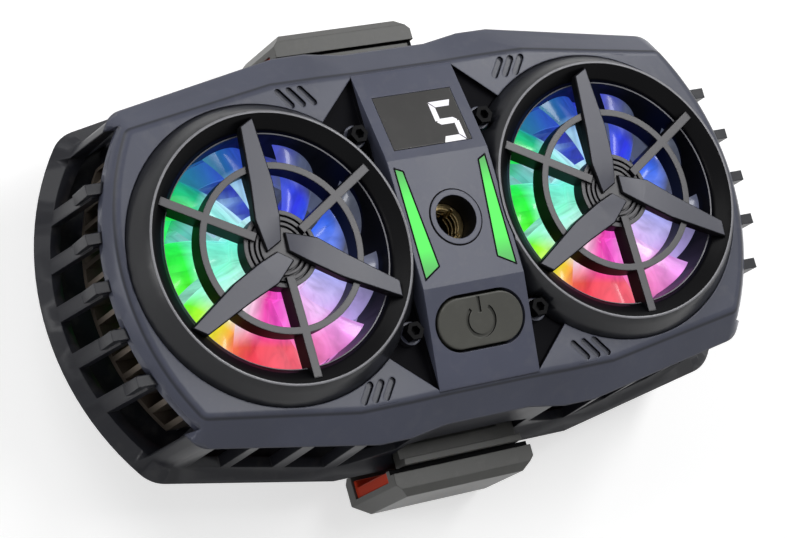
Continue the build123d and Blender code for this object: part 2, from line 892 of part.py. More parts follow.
def fan_frame(side):
    """An open ring under the duct, with spokes to a base that holds the motor."""
    ring = tube(throat_radius + frame_ring_wall, throat_radius + running_gap, frame_under, frame_top)
    base = disc(frame_hub_radius, frame_under, frame_base)
    boss = disc(bearing_boss_radius, frame_base, frame_base + bearing_length)
    frame = ring + base + boss
    half = frame_spoke_width / 2
    reach = throat_radius + frame_ring_wall / 2
    for turn in (45, 135, 225, 315):
        spoke = block(frame_hub_radius / 2, reach, -half, half, frame_under, frame_base)
        frame = frame + Rot(0, 0, turn) * spoke
    bore = disc(bearing_radius + running_gap / 5, frame_base, frame_base + bearing_length + overrun)
    tail = disc(shaft_radius + running_gap, frame_base - shaft_tail, frame_base + overrun)
    return Pos(side * fan_x, 0) * (frame - bore - tail)


def light_ring(side):
    """A flat translucent ring on the frame's spokes that lights the blades from behind."""
    outer = throat_radius - slide_gap
    return tube(outer, light_ring_inner, frame_base, frame_base + light_ring_height, side * fan_x)


def heat_sink(side):
    """A finned block: low under the fan and tall round it, within the housing's walls."""
    base = block(sink_start, sink_end, -sink_half_width, sink_half_width, module_top, sink_level)
    count = int(2 * sink_half_width / fin_pitch)
    start = -count * fin_pitch / 2
    top = sink_level + tall_fin_height
    fins = []
    for step in range(count + 1):
        y = start + step * fin_pitch
        half = fin_thickness / 2
        fins.append(block(sink_start, sink_end, y - half, y + half, module_top, top))
    body = base + fins
    fan_space = disc(throat_radius + frame_ring_wall + sink_gap, frame_under, top + overrun, fan_x)
    room = Pos(0, 0, module_top - overrun) * extrude(
        outline(edge_shape, 0, wall + top_step + sink_gap), top - module_top + 2 * overrun
    )
    body = (body - fan_space) & room
    if side < 0:
        body = mirror(body, about=Plane.YZ)
    return body


def thermo_module(side):
    half = module_size / 2
    middle = side * fan_x
    return block(middle - half, middle + half, -half, half, plate_top, module_top)


def cold_plate():
    half = plate_half_width
    lower = block(-plate_half_length, plate_half_length, -half, half, plate_under, plate_top)
    reach = plate_half_length + plate_flange
    width = plate_half_width + plate_flange
    flange = block(-reach, reach, -width, width, floor_level, plate_top)
    return lower + flange - disc(pin_radius + running_gap / 5, plate_top - pin_seat, plate_top + overrun)


def contact_pad():
    reach = plate_half_length - contact_inset
    width = plate_half_width - contact_inset
    return block(-reach, reach, -width, width, pad_under, plate_under)


def rear_housing():
    rear = body_between(rim_shape, rear_level, rim_shape, rim_level, rim_inset, 0)
    skirt = body_between(rim_shape, rim_level, rim_shape, foot_level, 0, foot_step)
    walls = body_between(rim_shape, foot_level, edge_shape, edge_level, foot_step, top_step)
    outer = rear + skirt + walls
    inset = foot_step + wall
    low_hollow = body_between(rim_shape, floor_level, rim_shape, foot_level, inset, inset)
    high_hollow = body_between(
        rim_shape, foot_level, edge_shape, edge_level, inset, top_step + wall
    )
    cap_hollow = Pos(0, 0, edge_level) * extrude(outline(edge_shape, 0, top_step + wall), overrun)
    shell = outer - (low_hollow + high_hollow + cap_hollow)
    shell = shell - end_windows() - side_slots() - arm_windows()
    lugs = [lug - low_hollow - high_hollow - cap_hollow for lug in lug_solids()]
    shell = shell + lugs
    opening_x = plate_half_length + slip_gap
    opening_y = plate_half_width + slip_gap
    top = floor_level + overrun
    shell = shell - block(-opening_x, opening_x, -opening_y, opening_y, rear_level - overrun, top)
    post_level = rear_level + rear_post_height
    for x, y in rear_screws_at():
        shell = shell + disc(rear_post_radius, rear_level, post_level, x, y)
        shell = shell - disc(screw_radius + slip_gap, rear_level - overrun, post_level + overrun, x, y)
        shell = shell - disc(rear_screw_head_radius + slip_gap, rear_level - overrun, rear_screw_seat(), x, y)
    shell = shell + (socket_shelf() & (low_hollow + high_hollow))
    shell = shell - socket_block(slip_gap, overrun)
    return shell


def end_windows():
    windows = []
    top = edge_level + overrun
    reach = rim_reach + overrun
    for side in sides:
        for start, end in window_spans():
            windows.append(block(side * face_corner_x, side * reach, start, end, foot_level, top))
    return windows


def slot_block(x0, x1, side_y, z0, z1):
    return block(x0, x1, side_y * (face_corner_y + wall), side_y * (rim_side_y + overrun), z0, z1)


def side_slots():
    """Rows of slots along both sides, the last one on each side sloping up to the clamp."""
    slots = []
    top = edge_level - slot_drop
    for side_x in sides:
        for side_y in sides:
            for start, end in zip(slot_starts, slot_ends):
                if not (side_x > 0 and side_y > 0 and start < socket_x < end):
                    slots.append(slot_block(side_x * start, side_x * end, side_y, foot_level, top))
            points = [
                (side_x * last_slot_end, side_y * rim_side_y, foot_level),
                (side_x * last_slot_bend, side_y * rim_side_y, foot_level),
                (side_x * last_slot_start, side_y * rim_side_y, foot_level + last_slot_rise),
                (side_x * last_slot_start, side_y * rim_side_y, top),
                (side_x * last_slot_end, side_y * rim_side_y, top),
            ]
            face = make_face(Polyline(*points, close=True))
            slots.append(extrude(face, edge_corner_radius, dir=(0, side_y, 0), both=True))
    return slots


def arm_windows():
    """Where the arm plates of the jaws pass out of the walls."""
    half = arm_half_width + slide_gap
    under = arm_under - slide_gap
    windows = []
    for side in sides:
        windows.append(slot_block(-half, half, side, under, under + arm_window_height))
    return windows


def socket_place():
    return edge_side_y - top_step - wall / 4


def socket_level():
    return foot_level + socket_lift


def socket_block(grow=0, out=0):
    half = socket_width / 2 + grow
    back = socket_place() - socket_depth
    level = socket_level()
    shape = Rectangle(2 * half, socket_height + 2 * grow)
    face = Plane.XZ.offset(-back) * Pos(socket_x, level + socket_height / 2) * shape
    corner = socket_height / 3
    face = fillet(face.vertices(), corner)
    return extrude(face, socket_place() + out - back, dir=(0, 1, 0))


def socket_shelf():
    half = shelf_width / 2
    back = socket_place() - socket_depth
    return block(socket_x - half, socket_x + half, back, rim_side_y, floor_level - wall / 2, socket_level())


def usb_c_port():
    """A socket shell with a tongue, its mouth flush with the wall."""
    shell = socket_block()
    inner_half = socket_width / 2 - socket_wall
    level = socket_level()
    back = socket_place() - socket_depth
    mouth = Rectangle(2 * inner_half, socket_height - 2 * socket_wall)
    face = Plane.XZ.offset(-back - socket_wall) * Pos(socket_x, level + socket_height / 2) * mouth
    face = fillet(face.vertices(), socket_height / 3 - socket_wall)
    hollow = extrude(face, socket_depth + overrun, dir=(0, 1, 0))
    half = inner_half - tongue_inset
    middle = level + socket_height / 2
    tongue = block(
        socket_x - half, socket_x + half, back, socket_place() - tongue_inset,
        middle - tongue_thickness / 2, middle + tongue_thickness / 2,
    )
    return shell - hollow + tongue


def foot_pads():
    """Two anti-slip strips on the rear face, outside the contact plate."""
    pads = []
    for side in sides:
        place = Pos(side * foot_pad_x, 0, rear_level - foot_pad_thickness) * Rot(0, 0, 90)
        slot = place * SlotOverall(2 * foot_pad_half_length, foot_pad_width)
        pads.append(extrude(slot, foot_pad_thickness))
    return Compound(pads)


def guide_plate():
    """A plate over the sliding arms, on two rails, with posts for the front screws and the board."""
    outline_face = Rectangle(2 * guide_half_width, 2 * guide_half_length)
    outline_face = fillet(outline_face.vertices(), guide_corner)
    plate = Pos(0, 0, guide_under) * extrude(outline_face, guide_thickness)
    body = plate
    rail_inner = arm_half_width + slide_gap
    rail_end = guide_half_length - guide_corner
    for side in sides:
        body = body + block(
            side * rail_inner, side * guide_half_width, -rail_end, rail_end, plate_top, guide_under
        )
    body = body + [disc(post_radius, guide_under, post_top, x, y) for x, y in screw_posts()]
    for side_x in sides:
        for side_y in sides:
            x = side_x * board_post_x
            body = body + disc(board_post_radius, guide_under, board_under, x, side_y * board_post_y)
    body = body - disc(pinion_hub_radius + slide_gap, guide_under - overrun, guide_top + overrun)
    bore = screw_radius + running_gap / 5
    body = body - [disc(bore, post_top - screw_length, post_top + overrun, x, y) for x, y in screw_posts()]
    anchor = spring_outer() + spring_thickness
    half = pin_radius / 2
    anchor_top = spring_level() + spring_height
    return body + block(anchor, anchor + pin_radius, -half, half, guide_top - wall / 2, anchor_top)


def spring_level():
    return guide_top + slip_gap


def spring_start():
    return pinion_hub_radius + slip_gap + spring_thickness / 2


def spring_outer():
    return spring_start() + spring_pitch * spring_turns + spring_thickness / 2


def return_spring():
    """A flat spiral of half rings about two centres, from the pinion's hub out to the anchor."""
    strip = None
    for step in range(2 * spring_turns):
        radius = spring_start() + spring_pitch * step / 2 + spring_pitch / 4
        shift = -spring_pitch / 4 if step % 2 else spring_pitch / 4
        ring = Circle(radius + spring_thickness / 2) - Circle(radius - spring_thickness / 2)
        half_plane = Pos(0, (radius + spring_pitch) * (1 if step % 2 == 0 else -1)) * Rectangle(
            4 * (radius + spring_pitch), 2 * (radius + spring_pitch)
        )
        half_ring = Pos(-shift, 0) * (ring & half_plane)
        strip = half_ring if strip is None else strip + half_ring
    return Pos(0, 0, spring_level()) * extrude(strip, spring_height)


def involute_angle(radius, base):
    """How far an involute has turned at a radius, from its start on the base circle."""
    roll = sqrt(max((radius / base) ** 2 - 1, 0))
    return roll - atan(roll)


def pinion_tooth():
    tip = pitch_radius + addendum_share * tooth_module
    root = pitch_radius - dedendum_share * tooth_module
    base = pitch_radius * cos(radians(pressure_degrees))
    half_at_pitch = (pi * tooth_module / 2 - backlash / 2) / 2 / pitch_radius
    at_pitch = involute_angle(pitch_radius, base)
    radii = [base, (base + pitch_radius) / 2, pitch_radius, (pitch_radius + tip) / 2, tip]
    flank = []
    for radius in radii:
        half = half_at_pitch + at_pitch - involute_angle(radius, base)
        flank.append((radius * cos(half), radius * sin(half)))
    start = half_at_pitch + at_pitch
    inner = root - tooth_module / 2
    flank.insert(0, (inner * cos(start), inner * sin(start)))
    points = flank + [(x, -y) for x, y in reversed(flank)]
    return prism(points, arm_under, arm_top)


def pinion():
    """A small gear between the two racks, with a hub up through the guide plate to the spring."""
    root = pitch_radius - dedendum_share * tooth_module
    body = disc(root, arm_under, arm_top)
    tooth = pinion_tooth()
    body = body + [Rot(0, 0, 360 * (step + 1 / 2) / pinion_teeth) * tooth for step in range(pinion_teeth)]
    body = body + disc(pinion_hub_radius, arm_under, spring_level() + spring_height)
    return body - disc(pin_radius + running_gap, arm_under - overrun, board_under)


def pinion_pin():
    head_under = spring_level() + spring_height + slip_gap
    shank = disc(pin_radius, plate_top - pin_seat, head_under)
    return shank + disc(pin_head_radius, head_under, head_under + pin_head_height)


def rack_teeth():
    """Straight-flanked teeth on the side of the rack that faces the pinion."""
    pitch = pi * tooth_module
    tip = addendum_share * tooth_module
    root = dedendum_share * tooth_module
    half = (pitch / 2 - backlash / 2) / 2
    lean = tan(radians(pressure_degrees))
    over = tooth_module / 2
    count = int((jaw_travel + rack_overlap) / pitch) + 1
    teeth = []
    for step in range(-1, count + 1):
        y = -step * pitch
        points = [
            (pitch_radius + root + over, y - half - root * lean),
            (pitch_radius + root, y - half - root * lean),
            (pitch_radius - tip, y - half + tip * lean),
            (pitch_radius - tip, y + half - tip * lean),
            (pitch_radius + root, y + half + root * lean),
            (pitch_radius + root + over, y + half + root * lean),
        ]
        teeth.append(prism(points, arm_under, arm_top))
    return teeth


def jaw():
    """The upper jaw: rack, wide arm plate, raised bar, and the hooked jaw at its end."""
    pitch = pi * tooth_module
    rack_end = -(int((jaw_travel + rack_overlap) / pitch) + 3 / 2) * pitch
    rack_inner = pitch_radius + dedendum_share * tooth_module
    rack = block(rack_inner, rack_inner + rack_width, rack_end, arm_root + overrun, arm_under, arm_top)
    shelf_level = arm_top + jaw_shelf_rise
    inner_wall = jaw_reach - jaw_wall
    wide_end = inner_wall + jaw_wall / 2
    plate = block(-arm_half_width, arm_half_width, arm_root, wide_end, arm_under, arm_top)
    profile = [
        (0, inner_wall - jaw_pad, arm_under),
        (0, inner_wall - jaw_pad, shelf_level),
        (0, jaw_reach - jaw_chamfer, shelf_level),
        (0, jaw_reach, shelf_level - jaw_chamfer),
        (0, jaw_reach, lip_thickness),
        (0, jaw_reach - lip_thickness, 0),
        (0, lip_tip + lip_chamfer, 0),
        (0, lip_tip, lip_chamfer),
        (0, lip_tip, lip_thickness),
        (0, inner_wall, lip_thickness),
        (0, inner_wall, arm_under),
    ]
    hook = extrude(make_face(Polyline(*profile, close=True)), jaw_half_width, dir=(1, 0, 0), both=True)
    for side in sides:
        corner = [
            (side * jaw_half_width, jaw_reach - jaw_corner),
            (side * (jaw_half_width - jaw_corner), jaw_reach),
            (side * (jaw_half_width + overrun), jaw_reach + overrun),
        ]
        hook = hook - prism(corner, -overrun, shelf_level + overrun)
    ridge = block(
        -ridge_half_length, ridge_half_length, ridge_place - ridge_width / 2, ridge_place + ridge_width / 2,
        arm_top - ridge_width / 2, arm_top + ridge_height,
    )
    body = plate + rack + rack_teeth() + hook + ridge
    seam_start = inner_wall - jaw_pad
    seam = block(
        -jaw_half_width - overrun, jaw_half_width + overrun, seam_start, seam_start + jaw_seam_width,
        shelf_level - jaw_seam_depth, shelf_level + overrun,
    )
    groove = block(
        -arm_groove_half_length, arm_groove_half_length,
        arm_groove_place - arm_groove_width / 2, arm_groove_place + arm_groove_width / 2,
        arm_top - arm_groove_depth, arm_top + overrun,
    )
    return body - groove - seam


def jaw_cushion():
    """The rubber inside the upper jaw: a wall and a thin layer on the lip."""
    inner_wall = jaw_reach - jaw_wall
    profile = [
        (0, inner_wall, lip_thickness),
        (0, inner_wall, arm_under),
        (0, inner_wall - jaw_pad, arm_under),
        (0, inner_wall - jaw_pad, lip_thickness + lip_layer),
        (0, lip_tip + lip_layer, lip_thickness + lip_layer),
        (0, lip_tip + lip_layer, lip_thickness),
    ]
    half = jaw_half_width - slide_gap
    return extrude(make_face(Polyline(*profile, close=True)), half, dir=(1, 0, 0), both=True)


def hex_screw(x, y):
    seat = face_level - recess_depth + screw_seat
    head = Pos(x, y, seat) * extrude(RegularPolygon(screw_head_flats / sqrt(3), 6), screw_head_height)
    socket_level = seat + screw_head_height - screw_socket_depth
    socket_shape = RegularPolygon(screw_socket_flats / sqrt(3), 6)
    socket = Pos(x, y, socket_level) * extrude(socket_shape, screw_socket_depth + overrun)
    return head - socket + disc(screw_radius, seat - screw_length, seat, x, y)


def front_screws():
    return Compound([hex_screw(x, y) for x, y in screw_posts()])


def rear_screws():
    screws = []
    under = rear_level + rear_screw_sink
    seat = rear_screw_seat()
    for x, y in rear_screws_at():
        head = disc(rear_screw_head_radius, under, seat, x, y)
        socket = Pos(x, y, under - overrun) * extrude(
            RegularPolygon(screw_socket_flats / sqrt(3), 6), overrun + rear_screw_head_height / 2
        )
        screws.append(head - socket + disc(screw_radius, seat, seat + rear_screw_length, x, y))
    return Compound(screws)


def main_board():
    """The board between the fans, with a hole for the well and one for the spring's room."""
    face = Rectangle(2 * board_half_width, 2 * board_half_length)
    face = fillet(face.vertices(), guide_corner)
    board = Pos(0, 0, board_under) * extrude(face, board_thickness)
    return board - disc(bezel_radius + slide_gap, board_under - overrun, board_top + overrun)


def half_turn(shape):
    return Rot(0, 0, 180) * shape


def parts():
    found = {
        "front_cover": front_cover(),
        "center_panel": center_panel(),
        "display_window": display_window(),
        "display_module": display_module(),
        "power_button": power_button(),
        "button_switch": button_switch(),
        "center_well": center_well(),
        "brass_insert": brass_insert(),
        "cold_plate": cold_plate(),
        "contact_pad": contact_pad(),
        "rear_housing": rear_housing(),
        "usb_c_port": usb_c_port(),
        "foot_pads": foot_pads(),
        "guide_plate": guide_plate(),
        "return_spring": return_spring(),
        "pinion": pinion(),
        "pinion_pin": pinion_pin(),
        "jaw_upper": jaw(),
        "jaw_lower": half_turn(jaw()),
        "pad_upper": jaw_cushion(),
        "pad_lower": half_turn(jaw_cushion()),
        "front_screws": front_screws(),
        "rear_screws": rear_screws(),
        "main_board": main_board(),
    }
    for name, side in (("left", -1), ("right", 1)):
        found["light_strip_" + name] = light_strip(side)
        found["collar_" + name] = collar(side)
        found["grille_" + name] = grille(side)
        found["star_" + name] = star(side)
        found["impeller_" + name] = impeller(side)
        found["fan_shaft_" + name] = fan_shaft(side)
        found["fan_bearing_" + name] = fan_bearing(side)
        found["stator_" + name] = stator(side)
        found["fan_frame_" + name] = fan_frame(side)
        found["light_ring_" + name] = light_ring(side)
        found["heat_sink_" + name] = heat_sink(side)
        found["thermo_module_" + name] = thermo_module(side)
    return found


os.makedirs("parts", exist_ok=True)
for node, shape in parts().items():
    export_step(shape, "parts/" + node + ".step")
    print(node, round(shape.volume, 1))
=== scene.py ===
import bpy
import bmesh
from math import atan2, copysign, cos, hypot, pi, radians, sin, sqrt
from mathutils import Matrix, Vector


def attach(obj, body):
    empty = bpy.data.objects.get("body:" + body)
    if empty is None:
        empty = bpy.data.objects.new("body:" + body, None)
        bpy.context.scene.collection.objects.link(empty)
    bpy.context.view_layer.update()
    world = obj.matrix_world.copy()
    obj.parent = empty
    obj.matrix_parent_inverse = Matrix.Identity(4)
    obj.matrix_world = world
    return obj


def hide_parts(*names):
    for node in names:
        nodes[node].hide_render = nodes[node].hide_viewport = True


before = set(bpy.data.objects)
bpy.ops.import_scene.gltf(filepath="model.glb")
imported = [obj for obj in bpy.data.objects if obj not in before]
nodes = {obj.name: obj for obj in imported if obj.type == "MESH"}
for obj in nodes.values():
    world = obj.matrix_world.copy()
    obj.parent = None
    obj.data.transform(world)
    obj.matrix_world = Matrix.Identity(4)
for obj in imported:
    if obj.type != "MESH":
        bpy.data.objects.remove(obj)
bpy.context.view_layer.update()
scene = bpy.context.scene
mm = 0.001
fanX = 31.0
bothSides = (("left", -1), ("right", 1))
print("frame loaded:", len(nodes), "nodes")


def addObject(name, data):
    thing = bpy.data.objects.new(name, data)
    scene.collection.objects.link(thing)
    return thing


def turnTo(thing, place, right, up, back):
    turn = Matrix((right, up, back)).transposed()
    thing.matrix_world = Matrix.Translation(place) @ turn.to_4x4()


# Camera at the photograph's angle
cameraSet = {
    "place": (-0.24101, -0.08648, 0.43677),
    "right": (0.8596507, -0.26939208, 0.43408361),
    "up": (0.15660484, 0.94772359, 0.27801965),
    "back": (-0.48628757, -0.17102019, 0.85689935),
    "lens": 137.80,
    "sensor": 36.0,
    "near": 0.01,
    "far": 20.0,
}


def makeCamera(s):
    data = bpy.data.cameras.new("camera")
    data.lens = s["lens"]
    data.sensor_width = s["sensor"]
    data.clip_start = s["near"]
    data.clip_end = s["far"]
    camera = addObject("camera", data)
    turnTo(camera, s["place"], s["right"], s["up"], s["back"])
    scene.camera = camera


makeCamera(cameraSet)
scene.view_settings.view_transform = "Standard"
print("camera placed")


# Colours are written as they look on a screen, 0 to 255, and come out linear
def tone(red, green, blue):
    values = []
    for part in (red, green, blue):
        share = part / 255
        values.append(share / 12.92 if share <= 0.04045 else ((share + 0.055) / 1.055) ** 2.4)
    return (*values, 1.0)


def shade(colour, factor):
    return (colour[0] * factor, colour[1] * factor, colour[2] * factor, 1.0)


def lighter(colour, gain, lift):
    return tuple(min(1.0, c * gain + lift) for c in colour[:3]) + (1.0,)


def grey(value):
    return (value, value, value, 1.0)


# Nodes
def addNode(tree, kind, **settings):
    node = tree.nodes.new(kind)
    for key, value in settings.items():
        setattr(node, key, value)
    return node


def feed(tree, socket, value):
    # A number or a colour is set, another node's output is linked
    if isinstance(value, bpy.types.NodeSocket):
        tree.links.new(value, socket)
    else:
        socket.default_value = value


def fill(tree, node, **values):
    # Inputs by their labels, with _ for a space
    for label, value in values.items():
        feed(tree, node.inputs[label.replace("_", " ")], value)
    return node


def mathNode(tree, operation, first, second=None, clamp=False):
    node = addNode(tree, "ShaderNodeMath", operation=operation, use_clamp=clamp)
    for socket, value in zip(node.inputs, (first, second)):
        if value is not None:
            feed(tree, socket, value)
    return node.outputs[0]


def scaled(tree, value, gain, offset, clamp=False):
    return mathNode(tree, "ADD", mathNode(tree, "MULTIPLY", value, gain), offset, clamp)


def mixColour(tree, share, first, second, blend="MIX"):
    # The Mix node has sockets for every data type, and those of the others are disabled
    node = addNode(tree, "ShaderNodeMix", data_type="RGBA", blend_type=blend)
    factor = next(s for s in node.inputs if s.enabled and s.type == "VALUE")
    colours = [s for s in node.inputs if s.enabled and s.type == "RGBA"]
    for socket, value in zip((factor, *colours), (share, first, second)):
        feed(tree, socket, value)
    return next(s for s in node.outputs if s.enabled and s.type == "RGBA")


def rampNode(tree, source, stops, interpolation="LINEAR"):
    node = addNode(tree, "ShaderNodeValToRGB")
    ramp = node.color_ramp
    ramp.interpolation = interpolation
    ramp.elements[0].position, ramp.elements[0].color = stops[0]
    ramp.elements[1].position, ramp.elements[1].color = stops[-1]
    for place, colour in stops[1:-1]:
        ramp.elements.new(place).color = colour
    return fill(tree, node, Fac=source).outputs["Color"]


def noiseRamp(tree, source, low, high):
    # Most of a noise lies between 0.3 and 0.7
    return rampNode(tree, source, [(0.3, low), (0.7, high)])


def axesOf(tree, vector):
    return fill(tree, addNode(tree, "ShaderNodeSeparateXYZ"), Vector=vector).outputs


def noiseOf(tree, vector, **values):
    node = addNode(tree, "ShaderNodeTexNoise")
    return fill(tree, node, Vector=vector, **values).outputs["Fac"]


# Shared node groups
def startGroup(name, numbers, outputs):
    # Every group takes a Vector, and numbers with their defaults
    group = bpy.data.node_groups.new(name, "ShaderNodeTree")
    face = group.interface
    face.new_socket(name="Vector", in_out="INPUT", socket_type="NodeSocketVector")
    for label, value in numbers.items():
        socket = face.new_socket(name=label, in_out="INPUT", socket_type="NodeSocketFloat")
        socket.default_value = value
    for label, kind in outputs.items():
        face.new_socket(name=label, in_out="OUTPUT", socket_type=kind)
    return group, group.nodes.new("NodeGroupInput").outputs, group.nodes.new("NodeGroupOutput")


grainSet = {"fineDetail": 3.0, "fineRoughness": 0.6, "cloudDetail": 2.0}


def makeGrainGroup(s):
    # Moulded or blasted grain: a height for bump, and a slow cloud for colour and gloss
    tree, enter, leave = startGroup(
        "surfaceGrain",
        {"Scale": 900.0, "Cloud Scale": 45.0},
        {"Height": "NodeSocketFloat", "Cloud": "NodeSocketFloat"},
    )
    fine = noiseOf(tree, enter["Vector"], Scale=enter["Scale"], Detail=s["fineDetail"],
                   Roughness=s["fineRoughness"])
    slow = noiseOf(tree, enter["Vector"], Scale=enter["Cloud Scale"], Detail=s["cloudDetail"])
    fill(tree, leave, Height=fine, Cloud=slow)
    return tree


wearAndHighlightSet = {"samples": 6, "gain": 6.0, "breakScale": 300.0}


def makeEdgeGroup(s):
    # Lighter edges, partly wear and partly a painted highlight: how far the rounded normal leaves
    # the true one
    tree, enter, leave = startGroup(
        "edgeWearAndHighlight",
        {"Width": 0.0003, "Breakup": 0.5},
        {"Edge": "NodeSocketFloat", "Normal": "NodeSocketVector"},
    )
    bevel = addNode(tree, "ShaderNodeBevel", samples=s["samples"])
    soft = fill(tree, bevel, Radius=enter["Width"]).outputs["Normal"]
    true = addNode(tree, "ShaderNodeNewGeometry").outputs["Normal"]
    dot = addNode(tree, "ShaderNodeVectorMath", operation="DOT_PRODUCT")
    tree.links.new(soft, dot.inputs[0])
    tree.links.new(true, dot.inputs[1])
    away = mathNode(tree, "SUBTRACT", 1.0, dot.outputs["Value"])
    edge = mathNode(tree, "MULTIPLY", away, s["gain"], clamp=True)
    noise = noiseOf(tree, enter["Vector"], Scale=s["breakScale"])
    broken = mathNode(tree, "MULTIPLY", noise, enter["Breakup"])
    whole = mathNode(tree, "SUBTRACT", 1.0, broken, clamp=True)
    fill(tree, leave, Edge=mathNode(tree, "MULTIPLY", edge, whole), Normal=soft)
    return tree


dustSet = {"scale": 420.0, "detail": 5.0, "start": 0.52, "gain": 5.0, "upward": 3.0}


def makeDustGroup(s):
    # A little dust on faces that look up
    tree, enter, leave = startGroup("settledDust", {"Amount": 0.1}, {"Dust": "NodeSocketFloat"})
    true = addNode(tree, "ShaderNodeNewGeometry").outputs["Normal"]
    rise = mathNode(tree, "MAXIMUM", axesOf(tree, true)["Z"], 0.0)
    up = mathNode(tree, "POWER", rise, s["upward"])
    specks = noiseOf(tree, enter["Vector"], Scale=s["scale"], Detail=s["detail"])
    over = mathNode(tree, "SUBTRACT", specks, s["start"])
    spots = mathNode(tree, "MULTIPLY", over, s["gain"], clamp=True)
    share = mathNode(tree, "MULTIPLY", mathNode(tree, "MULTIPLY", up, spots), enter["Amount"])
    fill(tree, leave, Dust=share)
    return tree


grainGroup = makeGrainGroup(grainSet)
edgeGroup = makeEdgeGroup(wearAndHighlightSet)
dustGroup = makeDustGroup(dustSet)
print("node groups made")


# Materials, with lengths in millimetres
black = grey(0.0)
white = grey(1.0)
reliefDepth = 0.1


def placeGroup(tree, group, vector, **values):
    node = addNode(tree, "ShaderNodeGroup", node_tree=group)
    return fill(tree, node, Vector=vector, **values)


def startMaterial(name):
    material = bpy.data.materials.new(name)
    material.use_nodes = True
    tree = material.node_tree
    place = addNode(tree, "ShaderNodeTexCoord").outputs["Object"]
    return material, tree, tree.nodes["Principled BSDF"], place


def variedColour(tree, pattern, colour, vary):
    return noiseRamp(tree, pattern, shade(colour, 1 - vary), shade(colour, 1 + vary))


def variedGloss(tree, pattern, roughness, vary, clamp=True):
    return scaled(tree, pattern, vary, roughness - vary / 2, clamp)


def wornAndHighlitColour(tree, edgeNode, edge, base, bright):
    share = mathNode(tree, "MULTIPLY", edgeNode.outputs["Edge"], edge)
    return mixColour(tree, share, base, bright)


def reliefNormal(tree, height, edgeNode, strength):
    node = addNode(tree, "ShaderNodeBump")
    fill(tree, node, Strength=strength, Distance=reliefDepth * mm, Height=height,
         Normal=edgeNode.outputs["Normal"])
    return node.outputs["Normal"]


plasticSet = {
    "cloudScale": 60.0, "breakup": 0.35, "edgeGain": 2.2, "edgeLift": 0.015,
    "dust": tone(168, 166, 160), "dustRoughness": 0.5, "glossVary": 0.16, "coatRoughness": 0.12,
    "shadeBandPeak": 0.45, "shadeBandDepth": 0.1,
}


def paintedShadeBand(tree, place, base, colour, low, high, amount):
    # Painted shade: a darker band between two heights, standing in for the dark reflection along a
    # rounding
    s = plasticSet
    height = mathNode(tree, "MULTIPLY", axesOf(tree, place)["Z"], 1 / mm)
    along = mathNode(tree, "SUBTRACT", height, low)
    along = mathNode(tree, "DIVIDE", along, high - low, clamp=True)
    band = rampNode(tree, along, [(0.0, black), (s["shadeBandPeak"], white), (1.0, black)], "EASE")
    share = mathNode(tree, "MULTIPLY", band, amount)
    return mixColour(tree, share, base, shade(colour, s["shadeBandDepth"]))


def moulded(name, colour, roughness, grain=1400.0, bump=0.05, vary=0.08, edge=0.25, edgeWidth=0.25,
            dust=0.05, specular=0.5, coat=0.0, crease=None):
    # Moulded plastic and rubber: grain, slow colour change, lighter edges that are partly wear and
    # partly a painted highlight, and a trace of dust
    s = plasticSet
    material, tree, shader, place = startMaterial(name)
    grainNode = placeGroup(tree, grainGroup, place, Scale=grain, Cloud_Scale=s["cloudScale"])
    edgeNode = placeGroup(tree, edgeGroup, place, Width=edgeWidth * mm, Breakup=s["breakup"])
    settled = placeGroup(tree, dustGroup, place, Amount=dust).outputs["Dust"]
    cloud = grainNode.outputs["Cloud"]
    base = variedColour(tree, cloud, colour, vary)
    bright = lighter(colour, s["edgeGain"], s["edgeLift"])
    base = wornAndHighlitColour(tree, edgeNode, edge, base, bright)
    base = mixColour(tree, settled, base, s["dust"])
    # Painted shade along a band, where one is asked for
    if crease:
        base = paintedShadeBand(tree, place, base, colour, *crease)
    rough = variedGloss(tree, cloud, roughness, s["glossVary"], clamp=False)
    dull = mathNode(tree, "MULTIPLY", settled, s["dustRoughness"])
    fill(tree, shader, Base_Color=base, Roughness=mathNode(tree, "ADD", rough, dull, clamp=True),
         Normal=reliefNormal(tree, grainNode.outputs["Height"], edgeNode, bump),
         Specular_IOR_Level=specular, Coat_Weight=coat, Coat_Roughness=s["coatRoughness"])
    return material


metalSet = {
    "vary": 0.12, "glossVary": 0.2, "edge": 0.3, "edgeWidth": 0.2, "breakup": 0.4,
    "edgeGain": 1.5, "edgeLift": 0.03,
}


def brushed(name, colour, roughness, along=(1.0, 40.0, 40.0), grain=60.0, bump=0.08):
    # Worked metal: fine lines along one way, lighter edges that are partly wear and partly a
    # painted highlight
    s = metalSet
    material, tree, shader, place = startMaterial(name)
    lines = fill(tree, addNode(tree, "ShaderNodeMapping"), Vector=place, Scale=along)
    grainNode = placeGroup(tree, grainGroup, lines.outputs["Vector"], Scale=grain)
    edgeNode = placeGroup(tree, edgeGroup, place, Width=s["edgeWidth"] * mm, Breakup=s["breakup"])
    height = grainNode.outputs["Height"]
    base = variedColour(tree, height, colour, s["vary"])
    bright = lighter(colour, s["edgeGain"], s["edgeLift"])
    fill(tree, shader, Base_Color=wornAndHighlitColour(tree, edgeNode, s["edge"], base, bright),
         Roughness=variedGloss(tree, height, roughness, s["glossVary"]),
         Normal=reliefNormal(tree, height, edgeNode, bump), Metallic=1.0)
    return material


